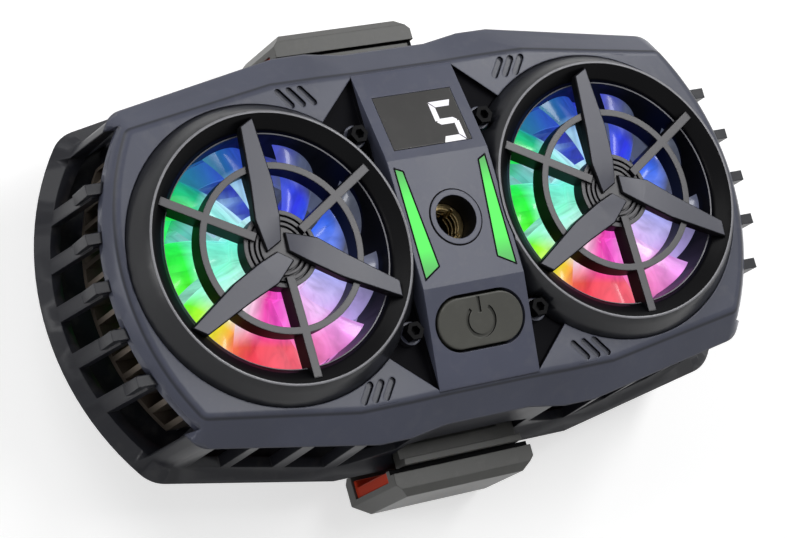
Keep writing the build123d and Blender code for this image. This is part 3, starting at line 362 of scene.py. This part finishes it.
paint = {
    # The face's band of painted shade runs along the rounding under the cover's top
    "face": moulded("facePlastic", tone(70, 73, 88), 0.33, bump=0.06, edge=0.2, edgeWidth=0.3,
                    specular=0.28, crease=(31.4, 31.94, 0.8)),
    "panel": moulded("panelPlastic", tone(72, 75, 91), 0.34, edge=0.3, edgeWidth=0.2,
                     specular=0.28),
    # Dark joints, and painted shade in the button's opening, the symbol's walls and the well under
    # the bezel's top
    "seam": moulded("darkSeamAndShade", tone(10, 10, 12), 0.6, edge=0.0, dust=0.0, specular=0.05),
    # Near-black for the screw sinks, and painted shade on the marks' walls and edges
    "recess": moulded("sinkAndMarkShade", tone(12, 12, 16), 0.5, edge=0.1, dust=0.0, specular=0.03),
    "rear": moulded("rearPlastic", tone(27, 28, 34), 0.36, bump=0.08, edge=0.4, edgeWidth=0.2,
                    specular=0.25),
    "jaw": moulded("jawPlastic", tone(78, 78, 76), 0.38, edge=0.35, specular=0.3),
    "dark": moulded("darkPlastic", tone(22, 22, 25), 0.5, edge=0.2, specular=0.25),
    "collar": moulded("collarPlastic", tone(24, 25, 29), 0.32, bump=0.03, edge=0.3, dust=0.02,
                      specular=0.35),
    # The collar's plastic darker on its inner lip, as painted shade
    "lip": moulded("lipPaintedShade", tone(9, 9, 11), 0.34, bump=0.02, edge=0.2, dust=0.0,
                   specular=0.07),
    # A painted highlight for the collars' rims and the throat lines
    "rim": moulded("rimPaintedHighlight", tone(126, 126, 131), 0.3, bump=0.0, edge=0.0, dust=0.0),
    "grille": moulded("grillePlastic", tone(82, 81, 84), 0.36, bump=0.03, edge=0.35, dust=0.03,
                      specular=0.3),
    "star": moulded("starPlastic", tone(74, 75, 85), 0.34, bump=0.03, edge=0.35, dust=0.03,
                    specular=0.3),
    # Painted shade for the sides of the grilles and stars
    "starSide": moulded("starSidePaintedShade", tone(16, 16, 19), 0.4, edge=0.1, dust=0.0,
                        specular=0.05),
    "button": moulded("buttonPlastic", tone(68, 68, 63), 0.38, bump=0.03, edge=0.35, dust=0.03,
                      specular=0.3),
    "lens": moulded("smokeLens", tone(44, 43, 42), 0.24, bump=0.0, vary=0.03, edge=0.2,
                    dust=0.01, specular=0.3, coat=0.2),
    "rubber": moulded("redRubber", tone(206, 58, 24), 0.62, grain=1800.0, bump=0.12, edge=0.2,
                      dust=0.06, specular=0.2),
    "silicone": moulded("greySilicone", tone(96, 97, 99), 0.7, grain=1600.0, bump=0.1, edge=0.1,
                        dust=0.1),
    "board": moulded("boardMask", tone(18, 84, 52), 0.3, bump=0.02, edge=0.2, coat=0.3),
    "ceramic": moulded("ceramicFace", tone(226, 225, 220), 0.5, bump=0.04, edge=0.1),
    "screw": moulded("blackScrew", tone(9, 9, 11), 0.4, bump=0.03, edge=0.4, edgeWidth=0.1,
                     dust=0.0, specular=0.04),
    "brass": brushed("brassInsert", tone(176, 156, 112), 0.34, along=(20.0, 20.0, 60.0)),
    "steel": brushed("steel", tone(168, 168, 171), 0.28),
    "aluminium": brushed("coldPlate", tone(196, 197, 200), 0.30, along=(1.0, 60.0, 60.0)),
    "copper": brushed("windingWire", tone(176, 96, 52), 0.35, along=(4.0, 4.0, 90.0),
                      grain=110.0, bump=0.3),
}
print("plain materials made:", len(paint))


# The fans' light: colours round the hub, as shares of a turn from the left by the bottom
glowSet = {
    "outer": [
        (0.000, (0.03, 0.98, 0.05)), (0.045, (0.12, 0.99, 0.03)), (0.085, (0.55, 0.98, 0.03)),
        (0.110, (0.98, 0.80, 0.04)), (0.140, (0.95, 0.22, 0.08)), (0.180, (0.95, 0.06, 0.10)),
        (0.250, (0.92, 0.14, 0.20)), (0.300, (0.86, 0.22, 0.55)), (0.350, (0.84, 0.30, 0.86)),
        (0.395, (0.42, 0.34, 0.72)), (0.440, (0.10, 0.11, 0.18)), (0.560, (0.07, 0.08, 0.11)),
        (0.655, (0.08, 0.10, 0.18)), (0.710, (0.03, 0.05, 0.62)), (0.770, (0.02, 0.08, 0.42)),
        (0.830, (0.01, 0.22, 0.26)), (0.875, (0.01, 0.55, 0.20)), (0.905, (0.02, 0.86, 0.12)),
        (1.000, (0.03, 0.98, 0.05)),
    ],
    "inner": [
        (0.000, (0.28, 1.00, 0.72)), (0.060, (0.48, 1.00, 0.85)), (0.115, (0.85, 1.00, 0.85)),
        (0.150, (0.95, 0.60, 0.80)), (0.190, (0.90, 0.06, 0.45)), (0.245, (0.92, 0.10, 0.66)),
        (0.310, (0.96, 0.50, 0.95)), (0.380, (0.66, 0.55, 0.98)), (0.460, (0.26, 0.36, 0.95)),
        (0.550, (0.05, 0.16, 0.90)), (0.630, (0.03, 0.04, 0.75)), (0.700, (0.06, 0.12, 0.85)),
        (0.760, (0.35, 0.62, 1.00)), (0.820, (0.55, 0.92, 1.00)), (0.890, (0.20, 0.92, 0.80)),
        (0.950, (0.20, 0.96, 0.72)), (1.000, (0.28, 1.00, 0.72)),
    ],
    "split": 13.2, "soften": 3.0,
    "streakRound": 4.0, "streakOut": 110.0, "streakScale": 2.2, "streakDetail": 3.0,
    "streakWaver": 0.6,
    "cloudScale": 70.0, "vary": 0.15, "glossVary": 0.2, "specular": 0.3, "coatRoughness": 0.06,
}


def makeWheelGroup(s):
    # The light's colour by angle round the hub, inner and outer, with radial streaks
    tree, enter, leave = startGroup(
        "fanLight",
        {},
        {"Color": "NodeSocketColor", "Streak": "NodeSocketFloat", "Radius": "NodeSocketFloat"},
    )
    axes = axesOf(tree, enter["Vector"])
    angle = mathNode(tree, "ARCTAN2", axes["Y"], axes["X"])
    turn = mathNode(tree, "ADD", mathNode(tree, "DIVIDE", angle, 2 * pi), 0.5)
    squares = [mathNode(tree, "MULTIPLY", axes[label], axes[label]) for label in "XY"]
    radius = mathNode(tree, "SQRT", mathNode(tree, "ADD", *squares))
    outer, inner = [rampNode(tree, turn, [(place, (*colour, 1.0)) for place, colour in s[ring]])
                    for ring in ("outer", "inner")]
    beyond = mathNode(tree, "SUBTRACT", radius, (s["split"] - s["soften"] / 2) * mm)
    share = mathNode(tree, "DIVIDE", beyond, s["soften"] * mm, clamp=True)
    rays = fill(tree, addNode(tree, "ShaderNodeCombineXYZ"),
                X=mathNode(tree, "MULTIPLY", angle, s["streakRound"]),
                Y=mathNode(tree, "MULTIPLY", radius, s["streakOut"]))
    streaks = noiseOf(tree, rays.outputs["Vector"], Scale=s["streakScale"],
                      Detail=s["streakDetail"], Distortion=s["streakWaver"])
    fill(tree, leave, Color=mixColour(tree, share, inner, outer), Streak=streaks, Radius=radius)
    return tree


wheelGroup = makeWheelGroup(glowSet)


def litAround(name, side, strength, streaks, body, roughness, coat=0.0, reach=40.0, metallic=0.0,
              gain=0.0):
    # Painted light: a surface glows with the fan's light, which stops at the reach from the fan's
    # axis
    s = glowSet
    material, tree, shader, place = startMaterial(name)
    centred = fill(tree, addNode(tree, "ShaderNodeMapping"), Vector=place,
                   Location=(-side * fanX * mm, 0.0, 0.0))
    wheel = placeGroup(tree, wheelGroup, centred.outputs["Vector"]).outputs
    streak = noiseRamp(tree, wheel["Streak"], grey(streaks[0]), grey(streaks[1]))
    glow = mixColour(tree, 1.0, wheel["Color"], streak, "MULTIPLY")
    inside = mathNode(tree, "LESS_THAN", wheel["Radius"], reach * mm)
    grainNode = placeGroup(tree, grainGroup, place, Cloud_Scale=s["cloudScale"])
    cloud = grainNode.outputs["Cloud"]
    base = variedColour(tree, cloud, body, s["vary"])
    # The light's colour also tints the base, as painted light
    if gain:
        base = mixColour(tree, gain, base, wheel["Color"])
    fill(tree, shader, Base_Color=base, Metallic=metallic,
         Roughness=variedGloss(tree, cloud, roughness, s["glossVary"]),
         Emission_Color=mixColour(tree, inside, black, glow), Emission_Strength=strength,
         Coat_Weight=coat, Coat_Roughness=s["coatRoughness"], Specular_IOR_Level=s["specular"])
    return material


stripLightSet = {
    "stops": [
        (0.02, (0.12, 0.36, 0.13, 1.0)), (0.16, (0.12, 0.58, 0.14, 1.0)),
        (0.30, (0.13, 0.98, 0.15, 1.0)), (0.74, (0.13, 0.98, 0.15, 1.0)),
        (0.90, (0.12, 0.58, 0.14, 1.0)), (1.00, (0.12, 0.36, 0.13, 1.0)),
    ],
    "length": 20.0, "waver": 0.04, "cloudScale": 180.0, "strength": 0.95,
    "base": (0.02, 0.06, 0.02, 1.0), "roughness": 0.5, "specular": 0.1,
}


def litStrip(name, s):
    # Green along the strip, darker at both ends
    material, tree, shader, place = startMaterial(name)
    along = scaled(tree, axesOf(tree, place)["Y"], 1 / (s["length"] * mm), 0.5)
    cloud = placeGroup(tree, grainGroup, place, Cloud_Scale=s["cloudScale"]).outputs["Cloud"]
    wavy = mathNode(tree, "ADD", along, mathNode(tree, "MULTIPLY", cloud, s["waver"]))
    fill(tree, shader, Emission_Color=rampNode(tree, wavy, s["stops"]),
         Emission_Strength=s["strength"], Base_Color=s["base"], Roughness=s["roughness"],
         Specular_IOR_Level=s["specular"])
    return material


digitLightSet = {
    "low": (0.86, 0.84, 0.92, 1.0), "high": (1.0, 0.99, 1.0, 1.0), "cloudScale": 250.0,
    "strength": 1.0, "base": grey(0.1), "roughness": 0.4,
}


def litDigit(s):
    material, tree, shader, place = startMaterial("digitLight")
    cloud = placeGroup(tree, grainGroup, place, Cloud_Scale=s["cloudScale"]).outputs["Cloud"]
    fill(tree, shader, Emission_Color=noiseRamp(tree, cloud, s["low"], s["high"]),
         Emission_Strength=s["strength"], Base_Color=s["base"], Roughness=s["roughness"])
    return material


for word, side in bothSides:
    # The blades, the frame and the fins glow with the fan's light as painted light; the light ring
    # is the lamp
    paint["blade" + word] = litAround("clearBlade" + word, side, 0.95, (0.7, 1.1),
                                      tone(36, 38, 44), 0.25, coat=0.2, gain=0.2)
    paint["ring" + word] = litAround("lightRing" + word, side, 0.9, (0.8, 1.1),
                                     tone(120, 124, 130), 0.5, gain=0.3)
    paint["frame" + word] = litAround("litFrame" + word, side, 0.75, (0.6, 1.0),
                                      tone(30, 30, 33), 0.45, reach=18.95)
    paint["fin" + word] = litAround("litFins" + word, side, 0.7, (0.5, 1.0),
                                    tone(122, 112, 102), 0.42, reach=19.2, metallic=1.0)
    paint["strip" + word] = litStrip("greenStrip" + word, stripLightSet)
paint["digit"] = litDigit(digitLightSet)
print("lit materials made")


# Copies of CAD nodes, merged, with flat triangles joined
copySet = {"merge": 0.001, "flat": 0.6, "smooth": 35.0}


def cleanCopy(nodeName, dissolve=True):
    mesh = bmesh.new()
    mesh.from_mesh(nodes[nodeName].data)
    bmesh.ops.remove_doubles(mesh, verts=mesh.verts, dist=copySet["merge"] * mm)
    if dissolve:
        bmesh.ops.dissolve_limit(mesh, angle_limit=radians(copySet["flat"]), verts=mesh.verts,
                                 edges=mesh.edges)
    return mesh


def finishPiece(mesh, name, body, paints, stands=(), smooth=copySet["smooth"]):
    data = bpy.data.meshes.new(name)
    mesh.to_mesh(data)
    mesh.free()
    piece = addObject(name, data)
    for paintName in paints:
        data.materials.append(paint[paintName])
    data.shade_smooth()
    data.set_sharp_from_angle(angle=radians(smooth))
    even = piece.modifiers.new("evenNormals", "WEIGHTED_NORMAL")
    even.keep_sharp = True
    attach(piece, body)
    if stands:
        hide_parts(*stands)
    return piece


def sharpEdge(angle):
    limit = radians(angle)
    return lambda edge: edge.calc_face_angle(0.0) > limit


def bevelEdges(mesh, width, segments, pick):
    # The picked edges between two faces, and back come the new faces
    edges = [e for e in mesh.edges if len(e.link_faces) == 2 and pick(e)]
    if not edges:
        return []
    made = bmesh.ops.bevel(mesh, geom=edges, offset=width * mm, offset_type="OFFSET",
                           segments=segments, profile=0.5, affect="EDGES", material=-1,
                           clamp_overlap=True)
    return made["faces"]


def shadeChamfer(mesh, width, pick):
    # A one-step bevel on the picked edges, its new faces in the second material as a line of
    # painted shade
    sharp = sharpEdge(60.0)
    for face in bevelEdges(mesh, width, 1, lambda edge: sharp(edge) and pick(edge)):
        face.material_index = 1


def dress(nodeName, body, paints, width=0.0, segments=2, angle=25.0, picks=(),
          smooth=copySet["smooth"], dissolve=True):
    # Each pick takes its faces to the next material
    mesh = cleanCopy(nodeName, dissolve)
    if width:
        bevelEdges(mesh, width, segments, sharpEdge(angle))
    for index, pick in enumerate(picks, 1):
        for face in filter(pick, mesh.faces):
            face.material_index = index
    finishPiece(mesh, nodeName + "Shell", body, paints, (nodeName,), smooth)


def faceCentre(face):
    return face.calc_center_median() / mm


def edgeCentre(edge):
    return (edge.verts[0].co + edge.verts[1].co) / 2 / mm


def within(value, ends):
    return ends[0] < value < ends[1]


# Front cover: its rounding, the slot marks with painted shade on their walls and edges, and the
# dark sinks for the screws
coverSet = {
    "top": 32.0, "radius": 2.0, "foot": 31.4, "steep": 0.5, "spread": 0.12, "level": 0.999,
    "noLean": 1e-12,
    "markX": 19.8, "markY": 24.2, "markZ": (31.45, 31.97), "markWall": 0.3, "markChamfer": 0.13,
    "wallReach": (5.5, 3.2), "wallClear": 24.6,
    "edgeReach": (4.0, 2.2), "edgeClear": 24.7, "edgeSlack": 0.02,
    "sinkX": (9.2, 17.0), "sinkY": (9.0, 26.2), "sinkZ": (30.0, 31.92),
    "smooth": 30.0,
}


def nearMarks(centre, reach, clear):
    # Beside the middle of a set of marks, and clear of the fan
    x, y = abs(centre.x), abs(centre.y)
    if abs(x - coverSet["markX"]) < reach[0] and abs(y - coverSet["markY"]) < reach[1]:
        return hypot(x - fanX, y) > clear
    return False


# The marks' walls take painted shade, and the sinks round the screws are near-black
def coverShadeAndSinks(face):
    s = coverSet
    centre = faceCentre(face)
    if centre.z > s["markZ"][0] and nearMarks(centre, s["wallReach"], s["wallClear"]):
        return abs(face.normal.z) < s["markWall"] and centre.z < s["markZ"][1]
    inSink = within(abs(centre.x), s["sinkX"]) and within(abs(centre.y), s["sinkY"])
    return inSink and within(centre.z, s["sinkZ"])


# The marks' top edges get a chamfer of painted shade
def markEdge(edge):
    s = coverSet
    centre = edgeCentre(edge)
    level = abs(centre.z - s["top"]) < s["edgeSlack"]
    return level and nearMarks(centre, s["edgeReach"], s["edgeClear"])


# Screw bosses under the cover: each one's centre, then the rounding's outward way beside it
# and how far out along that way the rounding starts
bossSet = {
    "bosses": (
        ((44.5, 23.9), (0.1464, 0.9892), 28.962),
        ((18.6, 27.4), (0.0, 1.0), 25.8),
    ),
    "reach": 2.4,
    "out": (0.2, 1.3),
}


def besideBoss(place):
    # The outward way and the share of the rounding, where a boss's top meets it
    s = bossSet
    x, y = abs(place.x) / mm, abs(place.y) / mm
    for centre, way, line in s["bosses"]:
        out = x * way[0] + y * way[1] - line
        near = hypot(x - centre[0], y - centre[1]) < s["reach"]
        if near and within(out, s["out"]) and place.z / mm > coverSet["foot"]:
            outward = Vector((copysign(way[0], place.x), copysign(way[1], place.y)))
            return outward, out / coverSet["radius"]
    return None, 0.0


def lowerBosses(mesh):
    # The bosses' tops come down onto the rounding
    s = coverSet
    for vertex in mesh.verts:
        way, share = besideBoss(vertex.co)
        if way is not None:
            rounded = s["top"] - s["radius"] * (1.0 - sqrt(1.0 - share * share))
            vertex.co.z = min(vertex.co.z, rounded * mm)


def ridgeNormal(vertex, total, isSteep):
    # On the rounding a normal's rise follows from the height alone, and elsewhere there is none
    s = coverSet
    way, share = besideBoss(vertex.co)
    if way is not None:
        return (way.x * share, way.y * share, sqrt(1.0 - share * share))
    rise = 1.0 - (s["top"] - vertex.co.z / mm) / s["radius"]
    if isSteep or rise < s["steep"] or abs(rise - total.normalized().z) > s["spread"]:
        return None
    lean = Vector((total.x, total.y))
    if rise > s["level"] or lean.length < s["noLean"]:
        return (0.0, 0.0, 1.0)
    lean = lean.normalized() * sqrt(1.0 - rise * rise)
    return (lean.x, lean.y, rise)


def setRidgeNormals(piece):
    # Those vertices keep their normals, and the modifier evens out the rest
    data = piece.data
    sums = [Vector() for _ in data.vertices]
    steep = set()
    for face in data.polygons:
        for index in face.vertices:
            sums[index] += face.normal * face.area
        if face.normal.z < coverSet["steep"]:
            steep.update(face.vertices)
    normals = [ridgeNormal(vertex, total, vertex.index in steep)
               for vertex, total in zip(data.vertices, sums)]
    data.normals_split_custom_set_from_vertices([n or (0.0, 0.0, 0.0) for n in normals])
    onRidge = [index for index, normal in enumerate(normals) if normal]
    group = piece.vertex_groups.new(name="ridge")
    group.add(onRidge, 1.0, "REPLACE")
    even = piece.modifiers["evenNormals"]
    even.vertex_group = group.name
    even.invert_vertex_group = True
    print("front_coverShell: ridge normals at", len(onRidge), "vertices")


def makeCover(s):
    mesh = cleanCopy("front_cover")
    for face in filter(coverShadeAndSinks, mesh.faces):
        face.material_index = 1
    shadeChamfer(mesh, s["markChamfer"], markEdge)
    lowerBosses(mesh)
    piece = finishPiece(mesh, "front_coverShell", "housing",
                        ["face", "recess"], ("front_cover",), s["smooth"])
    setRidgeNormals(piece)


# Center panel: crisp creases, and a chamfer of painted shade round the button's opening
panelSet = {"buttonY": -16.7, "halfX": 8.5, "halfY": 4.9, "up": 0.9, "chamfer": 0.28,
            "smooth": 8.0}


def openingEdge(edge):
    s = panelSet
    centre = edgeCentre(edge)
    if abs(centre.x) > s["halfX"] or abs(centre.y - s["buttonY"]) > s["halfY"]:
        return False
    return any(face.normal.z > s["up"] for face in edge.link_faces)


def makePanel(s):
    mesh = cleanCopy("center_panel")
    shadeChamfer(mesh, s["chamfer"], openingEdge)
    finishPiece(mesh, "center_panelShell", "housing", ["panel", "seam"],
                ("center_panel",), s["smooth"])


# Button and center well: the walls of the symbol and everything under the bezel's top are dark, as
# painted shade
buttonSet = {"symbolX": 3.2, "symbolLow": 33.2, "wall": 0.5}
wellSet = {"top": 35.9}


def shadedSymbolWall(face):
    s = buttonSet
    centre = faceCentre(face)
    inSymbol = abs(centre.x) < s["symbolX"] and centre.z > s["symbolLow"]
    return inSymbol and abs(face.normal.z) < s["wall"]


def shadedUnderTop(face):
    return faceCentre(face).z < wellSet["top"]


makeCover(coverSet)
makePanel(panelSet)
dress("display_window", "housing", ["lens"])
dress("power_button", "button", ["button", "seam"], picks=[shadedSymbolWall])
dress("rear_housing", "housing", ["rear"])
dress("center_well", "housing", ["panel", "seam"], picks=[shadedUnderTop])
dress("brass_insert", "housing", ["brass"])


# Fans: collars with a lip of painted shade and a rim of painted highlight, and grilles and stars
# with painted shade on their sides
fanSet = {"lipRadius": 21.5, "rim": 35.9, "up": 0.9, "sharp": 60.0, "grilleEdge": 0.14,
          "starEdge": 0.2, "smooth": 40.0}


def highlightRimFace(face):
    return faceCentre(face).z > fanSet["rim"]


def shadedSideFace(face):
    return face.normal.z < fanSet["up"]


def dressFan(word, side, s):
    def shadedLipFace(face):
        centre = faceCentre(face)
        return hypot(centre.x - side * fanX, centre.y) < s["lipRadius"]

    dress("collar_" + word, "housing", ["collar", "lip", "rim"],
          picks=[shadedLipFace, highlightRimFace], smooth=s["smooth"], dissolve=False)
    for part in ("grille", "star"):
        dress(part + "_" + word, "housing", [part, "starSide"],
              width=s[part + "Edge"], segments=1, angle=s["sharp"], picks=[shadedSideFace])
    dress("impeller_" + word, "fan_" + word, ["blade" + word],
          smooth=s["smooth"], dissolve=False)
    dress("light_ring_" + word, "housing", ["ring" + word], dissolve=False)
    dress("light_strip_" + word, "housing", ["strip" + word])


for word, side in bothSides:
    dressFan(word, side, fanSet)


# Clamp jaws with a dark groove across, and their pads
jawSet = {"grooveY": (34.5, 35.5), "grooveZ": (15.6, 16.9), "edge": 0.2, "padEdge": 0.25}


def jawGroove(face):
    centre = faceCentre(face)
    return within(abs(centre.y), jawSet["grooveY"]) and within(centre.z, jawSet["grooveZ"])


for word in ("upper", "lower"):
    dress("jaw_" + word, word + "_jaw", ["jaw", "seam"], width=jawSet["edge"],
          picks=[jawGroove])
    dress("pad_" + word, word + "_jaw", ["rubber"], width=jawSet["padEdge"],
          segments=3)
print("shells dressed")


# CAD nodes that keep their own mesh get a worked material
kept = {
    "display_module": "dark", "button_switch": "dark", "cold_plate": "aluminium",
    "contact_pad": "silicone", "usb_c_port": "steel", "foot_pads": "silicone",
    "guide_plate": "dark", "return_spring": "steel", "pinion": "brass", "pinion_pin": "steel",
    "front_screws": "screw", "rear_screws": "screw", "main_board": "board",
}
for word, side in bothSides:
    kept.update({
        "fan_shaft_" + word: "steel", "fan_bearing_" + word: "brass", "stator_" + word: "copper",
        "fan_frame_" + word: "frame" + word, "heat_sink_" + word: "fin" + word,
        "thermo_module_" + word: "ceramic",
    })
for nodeName, paintName in kept.items():
    data = nodes[nodeName].data
    data.materials.clear()
    data.materials.append(paint[paintName])
print("kept nodes painted:", len(kept))


def turnUp(faces):
    for face in faces:
        face.normal_update()
        if face.normal.z < 0:
            face.normal_flip()


# The display digit: the five lit ones of its seven segments, on the panel's upper facet
digitSet = {
    "left": 2.1, "right": 6.3, "low": 12.3, "high": 19.7, "thick": 1.05, "gap": 0.10,
    "corner": 0.6, "point": 0.8, "end": 0.55, "bevel": 0.06, "raised": 0.03, "proud": 0.03,
    "flatY": 10.6, "endY": 26.4, "top": 35.8, "foot": 32.0,
    "lit": ("top", "upperLeft", "middle", "lowerRight", "bottom"),
}


def segmentOutlines(s):
    left, right, low, high = s["left"], s["right"], s["low"], s["high"]
    thick, gap = s["thick"], s["gap"]
    corner, point, end = thick * s["corner"], thick * s["point"], thick * s["end"]
    middle = (low + high) / 2
    upper, lower = middle + thick / 2, middle - thick / 2
    return {
        "top": [(left + gap, high), (right - gap, high), (right - corner, high - thick),
                (left + thick, high - thick)],
        "bottom": [(right - gap, low), (left + gap, low), (left + corner, low + thick),
                   (right - thick, low + thick)],
        "middle": [(left + gap * 2, middle), (left + point, upper), (right - point, upper),
                   (right - gap * 2, middle), (right - point, lower), (left + point, lower)],
        "upperLeft": [(left, high - gap * 1.5), (left + thick - gap, high - thick - gap),
                      (left + thick - gap, upper + gap), (left + end, middle + gap * 2),
                      (left, middle + gap * 2)],
        "lowerRight": [(right, low + gap * 1.5), (right - thick + gap, low + thick + gap),
                       (right - thick + gap, lower - gap), (right - end, middle - gap * 2),
                       (right, middle - gap * 2)],
    }


def facetPoint(x, y, lift, s):
    slope = atan2(s["top"] - s["foot"], s["endY"] - s["flatY"])
    z = s["top"] - (y - s["flatY"]) * sin(slope) / cos(slope)
    return Vector((x, y + lift * sin(slope), z + lift * cos(slope))) * mm


def makeDigit(s):
    mesh = bmesh.new()
    for name, points in segmentOutlines(s).items():
        if name in s["lit"]:
            mesh.faces.new([mesh.verts.new(facetPoint(x, y, s["proud"], s)) for x, y in points])
    bmesh.ops.recalc_face_normals(mesh, faces=mesh.faces)
    turnUp(mesh.faces)
    bmesh.ops.inset_individual(mesh, faces=mesh.faces[:], thickness=s["bevel"] * mm,
                               depth=s["raised"] * mm)
    finishPiece(mesh, "displayDigit", "housing", ["digit"])


makeDigit(digitSet)


# Dark seam lines round the green strips
stripSet = {
    "outerX": 8.4, "topOuterY": 9.4, "topInnerX": 7.0, "topInnerY": 8.6, "footInnerX": 5.4,
    "footInnerY": 7.3, "footOuterY": 9.2, "top": 35.8, "line": 0.28, "lift": 0.02,
}


def makeStripSeams(s):
    mesh = bmesh.new()
    grow = s["line"] / 2
    outline = (
        (s["outerX"] + grow, s["topOuterY"] + grow),
        (s["topInnerX"] - grow, s["topInnerY"] + grow),
        (s["footInnerX"] - grow, -s["footInnerY"] - grow),
        (s["outerX"] + grow, -s["footOuterY"] - grow),
    )
    for word, side in bothSides:
        face = mesh.faces.new([mesh.verts.new(Vector((side * x, y, s["top"] + s["lift"])) * mm)
                               for x, y in outline])
        turnUp([face])
        bmesh.ops.inset_region(mesh, faces=[face], thickness=s["line"] * mm,
                               use_even_offset=True, use_boundary=True)
        bmesh.ops.delete(mesh, geom=[face], context="FACES")
    finishPiece(mesh, "stripSeams", "housing", ["seam"])


makeStripSeams(stripSet)


# A dark line round the bezel, and a thin painted highlight where each fan's collar meets its
# throat
bezelSet = {"radius": 4.5, "level": 35.82, "width": 0.24, "rise": 0.0, "steps": 96}
throatSet = {"radius": 18.82, "level": 33.84, "width": 0.16, "rise": 0.13, "steps": 128}


def ringBand(mesh, x, s):
    # A circle drawn outwards, and up where it has a rise
    middle = Matrix.Translation((x * mm, 0, s["level"] * mm))
    made = bmesh.ops.create_circle(mesh, cap_ends=False, segments=s["steps"],
                                   radius=s["radius"] * mm, matrix=middle)
    edges = list({edge for vertex in made["verts"] for edge in vertex.link_edges})
    grown = bmesh.ops.extrude_edge_only(mesh, edges=edges)
    verts = [v for v in grown["geom"] if isinstance(v, bmesh.types.BMVert)]
    factor = 1 + s["width"] / s["radius"]
    bmesh.ops.scale(mesh, vec=(factor, factor, 1.0), verts=verts, space=middle.inverted())
    bmesh.ops.translate(mesh, vec=(0, 0, s["rise"] * mm), verts=verts)


def makeRings(name, places, paintName, s):
    mesh = bmesh.new()
    for x in places:
        ringBand(mesh, x, s)
    turnUp(mesh.faces)
    finishPiece(mesh, name, "housing", [paintName])


makeRings("bezelSeam", [0.0], "seam", bezelSet)
makeRings("throatHighlights", [-fanX, fanX], "rim", throatSet)
print("seams made")


# Floor, lamps and white background
stageSet = {
    "world": 0.20, "lift": 0.60, "size": 3.0, "cells": 8, "drop": 0.1,
    "tone": grey(0.64), "roughness": 0.8, "specular": 0.1,
}


def seenShare(tree):
    # 1 for what the camera sees, straight or in a reflection or through glass
    path = addNode(tree, "ShaderNodeLightPath").outputs
    mirrored = mathNode(tree, "MAXIMUM", path["Is Glossy Ray"], path["Is Transmission Ray"])
    return mathNode(tree, "MAXIMUM", path["Is Camera Ray"], mirrored)


def makeFloor(s):
    mesh = bmesh.new()
    bmesh.ops.create_grid(mesh, x_segments=s["cells"], y_segments=s["cells"], size=s["size"])
    data = bpy.data.meshes.new("floor")
    mesh.to_mesh(data)
    mesh.free()
    floor = addObject("floor", data)
    floor.location = (0, 0, -s["drop"] * mm)
    material, tree, shader, place = startMaterial("paleFloor")
    fill(tree, shader, Base_Color=s["tone"], Roughness=s["roughness"],
         Specular_IOR_Level=s["specular"], Emission_Color=white,
         Emission_Strength=mathNode(tree, "MULTIPLY", seenShare(tree), s["lift"]))
    data.materials.append(material)


def makeWorld(s):
    world = bpy.data.worlds.new("softRoom")
    world.use_nodes = True
    scene.world = world
    tree = world.node_tree
    fill(tree, tree.nodes["Background"], Color=white,
         Strength=scaled(tree, seenShare(tree), 1.0 - s["world"], s["world"]))


# A lamp with a length is a strip that runs along a given way
lampSet = {
    "stripBox": {"place": (0.231, 0.118, 0.377), "target": (0.006, 0.004, 0.032),
                 "size": 0.07, "power": 1.1, "length": 0.42, "along": (1, 1, 0)},
    "backLamp": {"place": (-0.28, 0.46, 0.46), "target": (0, 0, 0.02), "size": 0.45,
                 "power": 1.5},
    "leftLamp": {"place": (-0.60, 0.10, 0.22), "target": (-0.05, 0, 0.02), "size": 0.22,
                 "power": 0.75},
    "frontLamp": {"place": (-0.30, -0.55, 0.45), "target": (0, 0, 0.02), "size": 0.50,
                  "power": 0.25},
}


def makeLamp(name, place, target, size, power, length=None, along=(1, 0, 0)):
    data = bpy.data.lights.new(name, "AREA")
    data.shape = "RECTANGLE" if length else "DISK"
    data.size = length or size
    data.size_y = size
    data.energy = power
    lamp = addObject(name, data)
    lamp.visible_camera = False
    back = (Vector(place) - Vector(target)).normalized()
    run = Vector(along)
    run = (run - back * run.dot(back)).normalized()
    turnTo(lamp, place, run, back.cross(run), back)


makeFloor(stageSet)
makeWorld(stageSet)
for name, lamp in lampSet.items():
    makeLamp(name, **lamp)
print("stage made")

print("all pieces made")
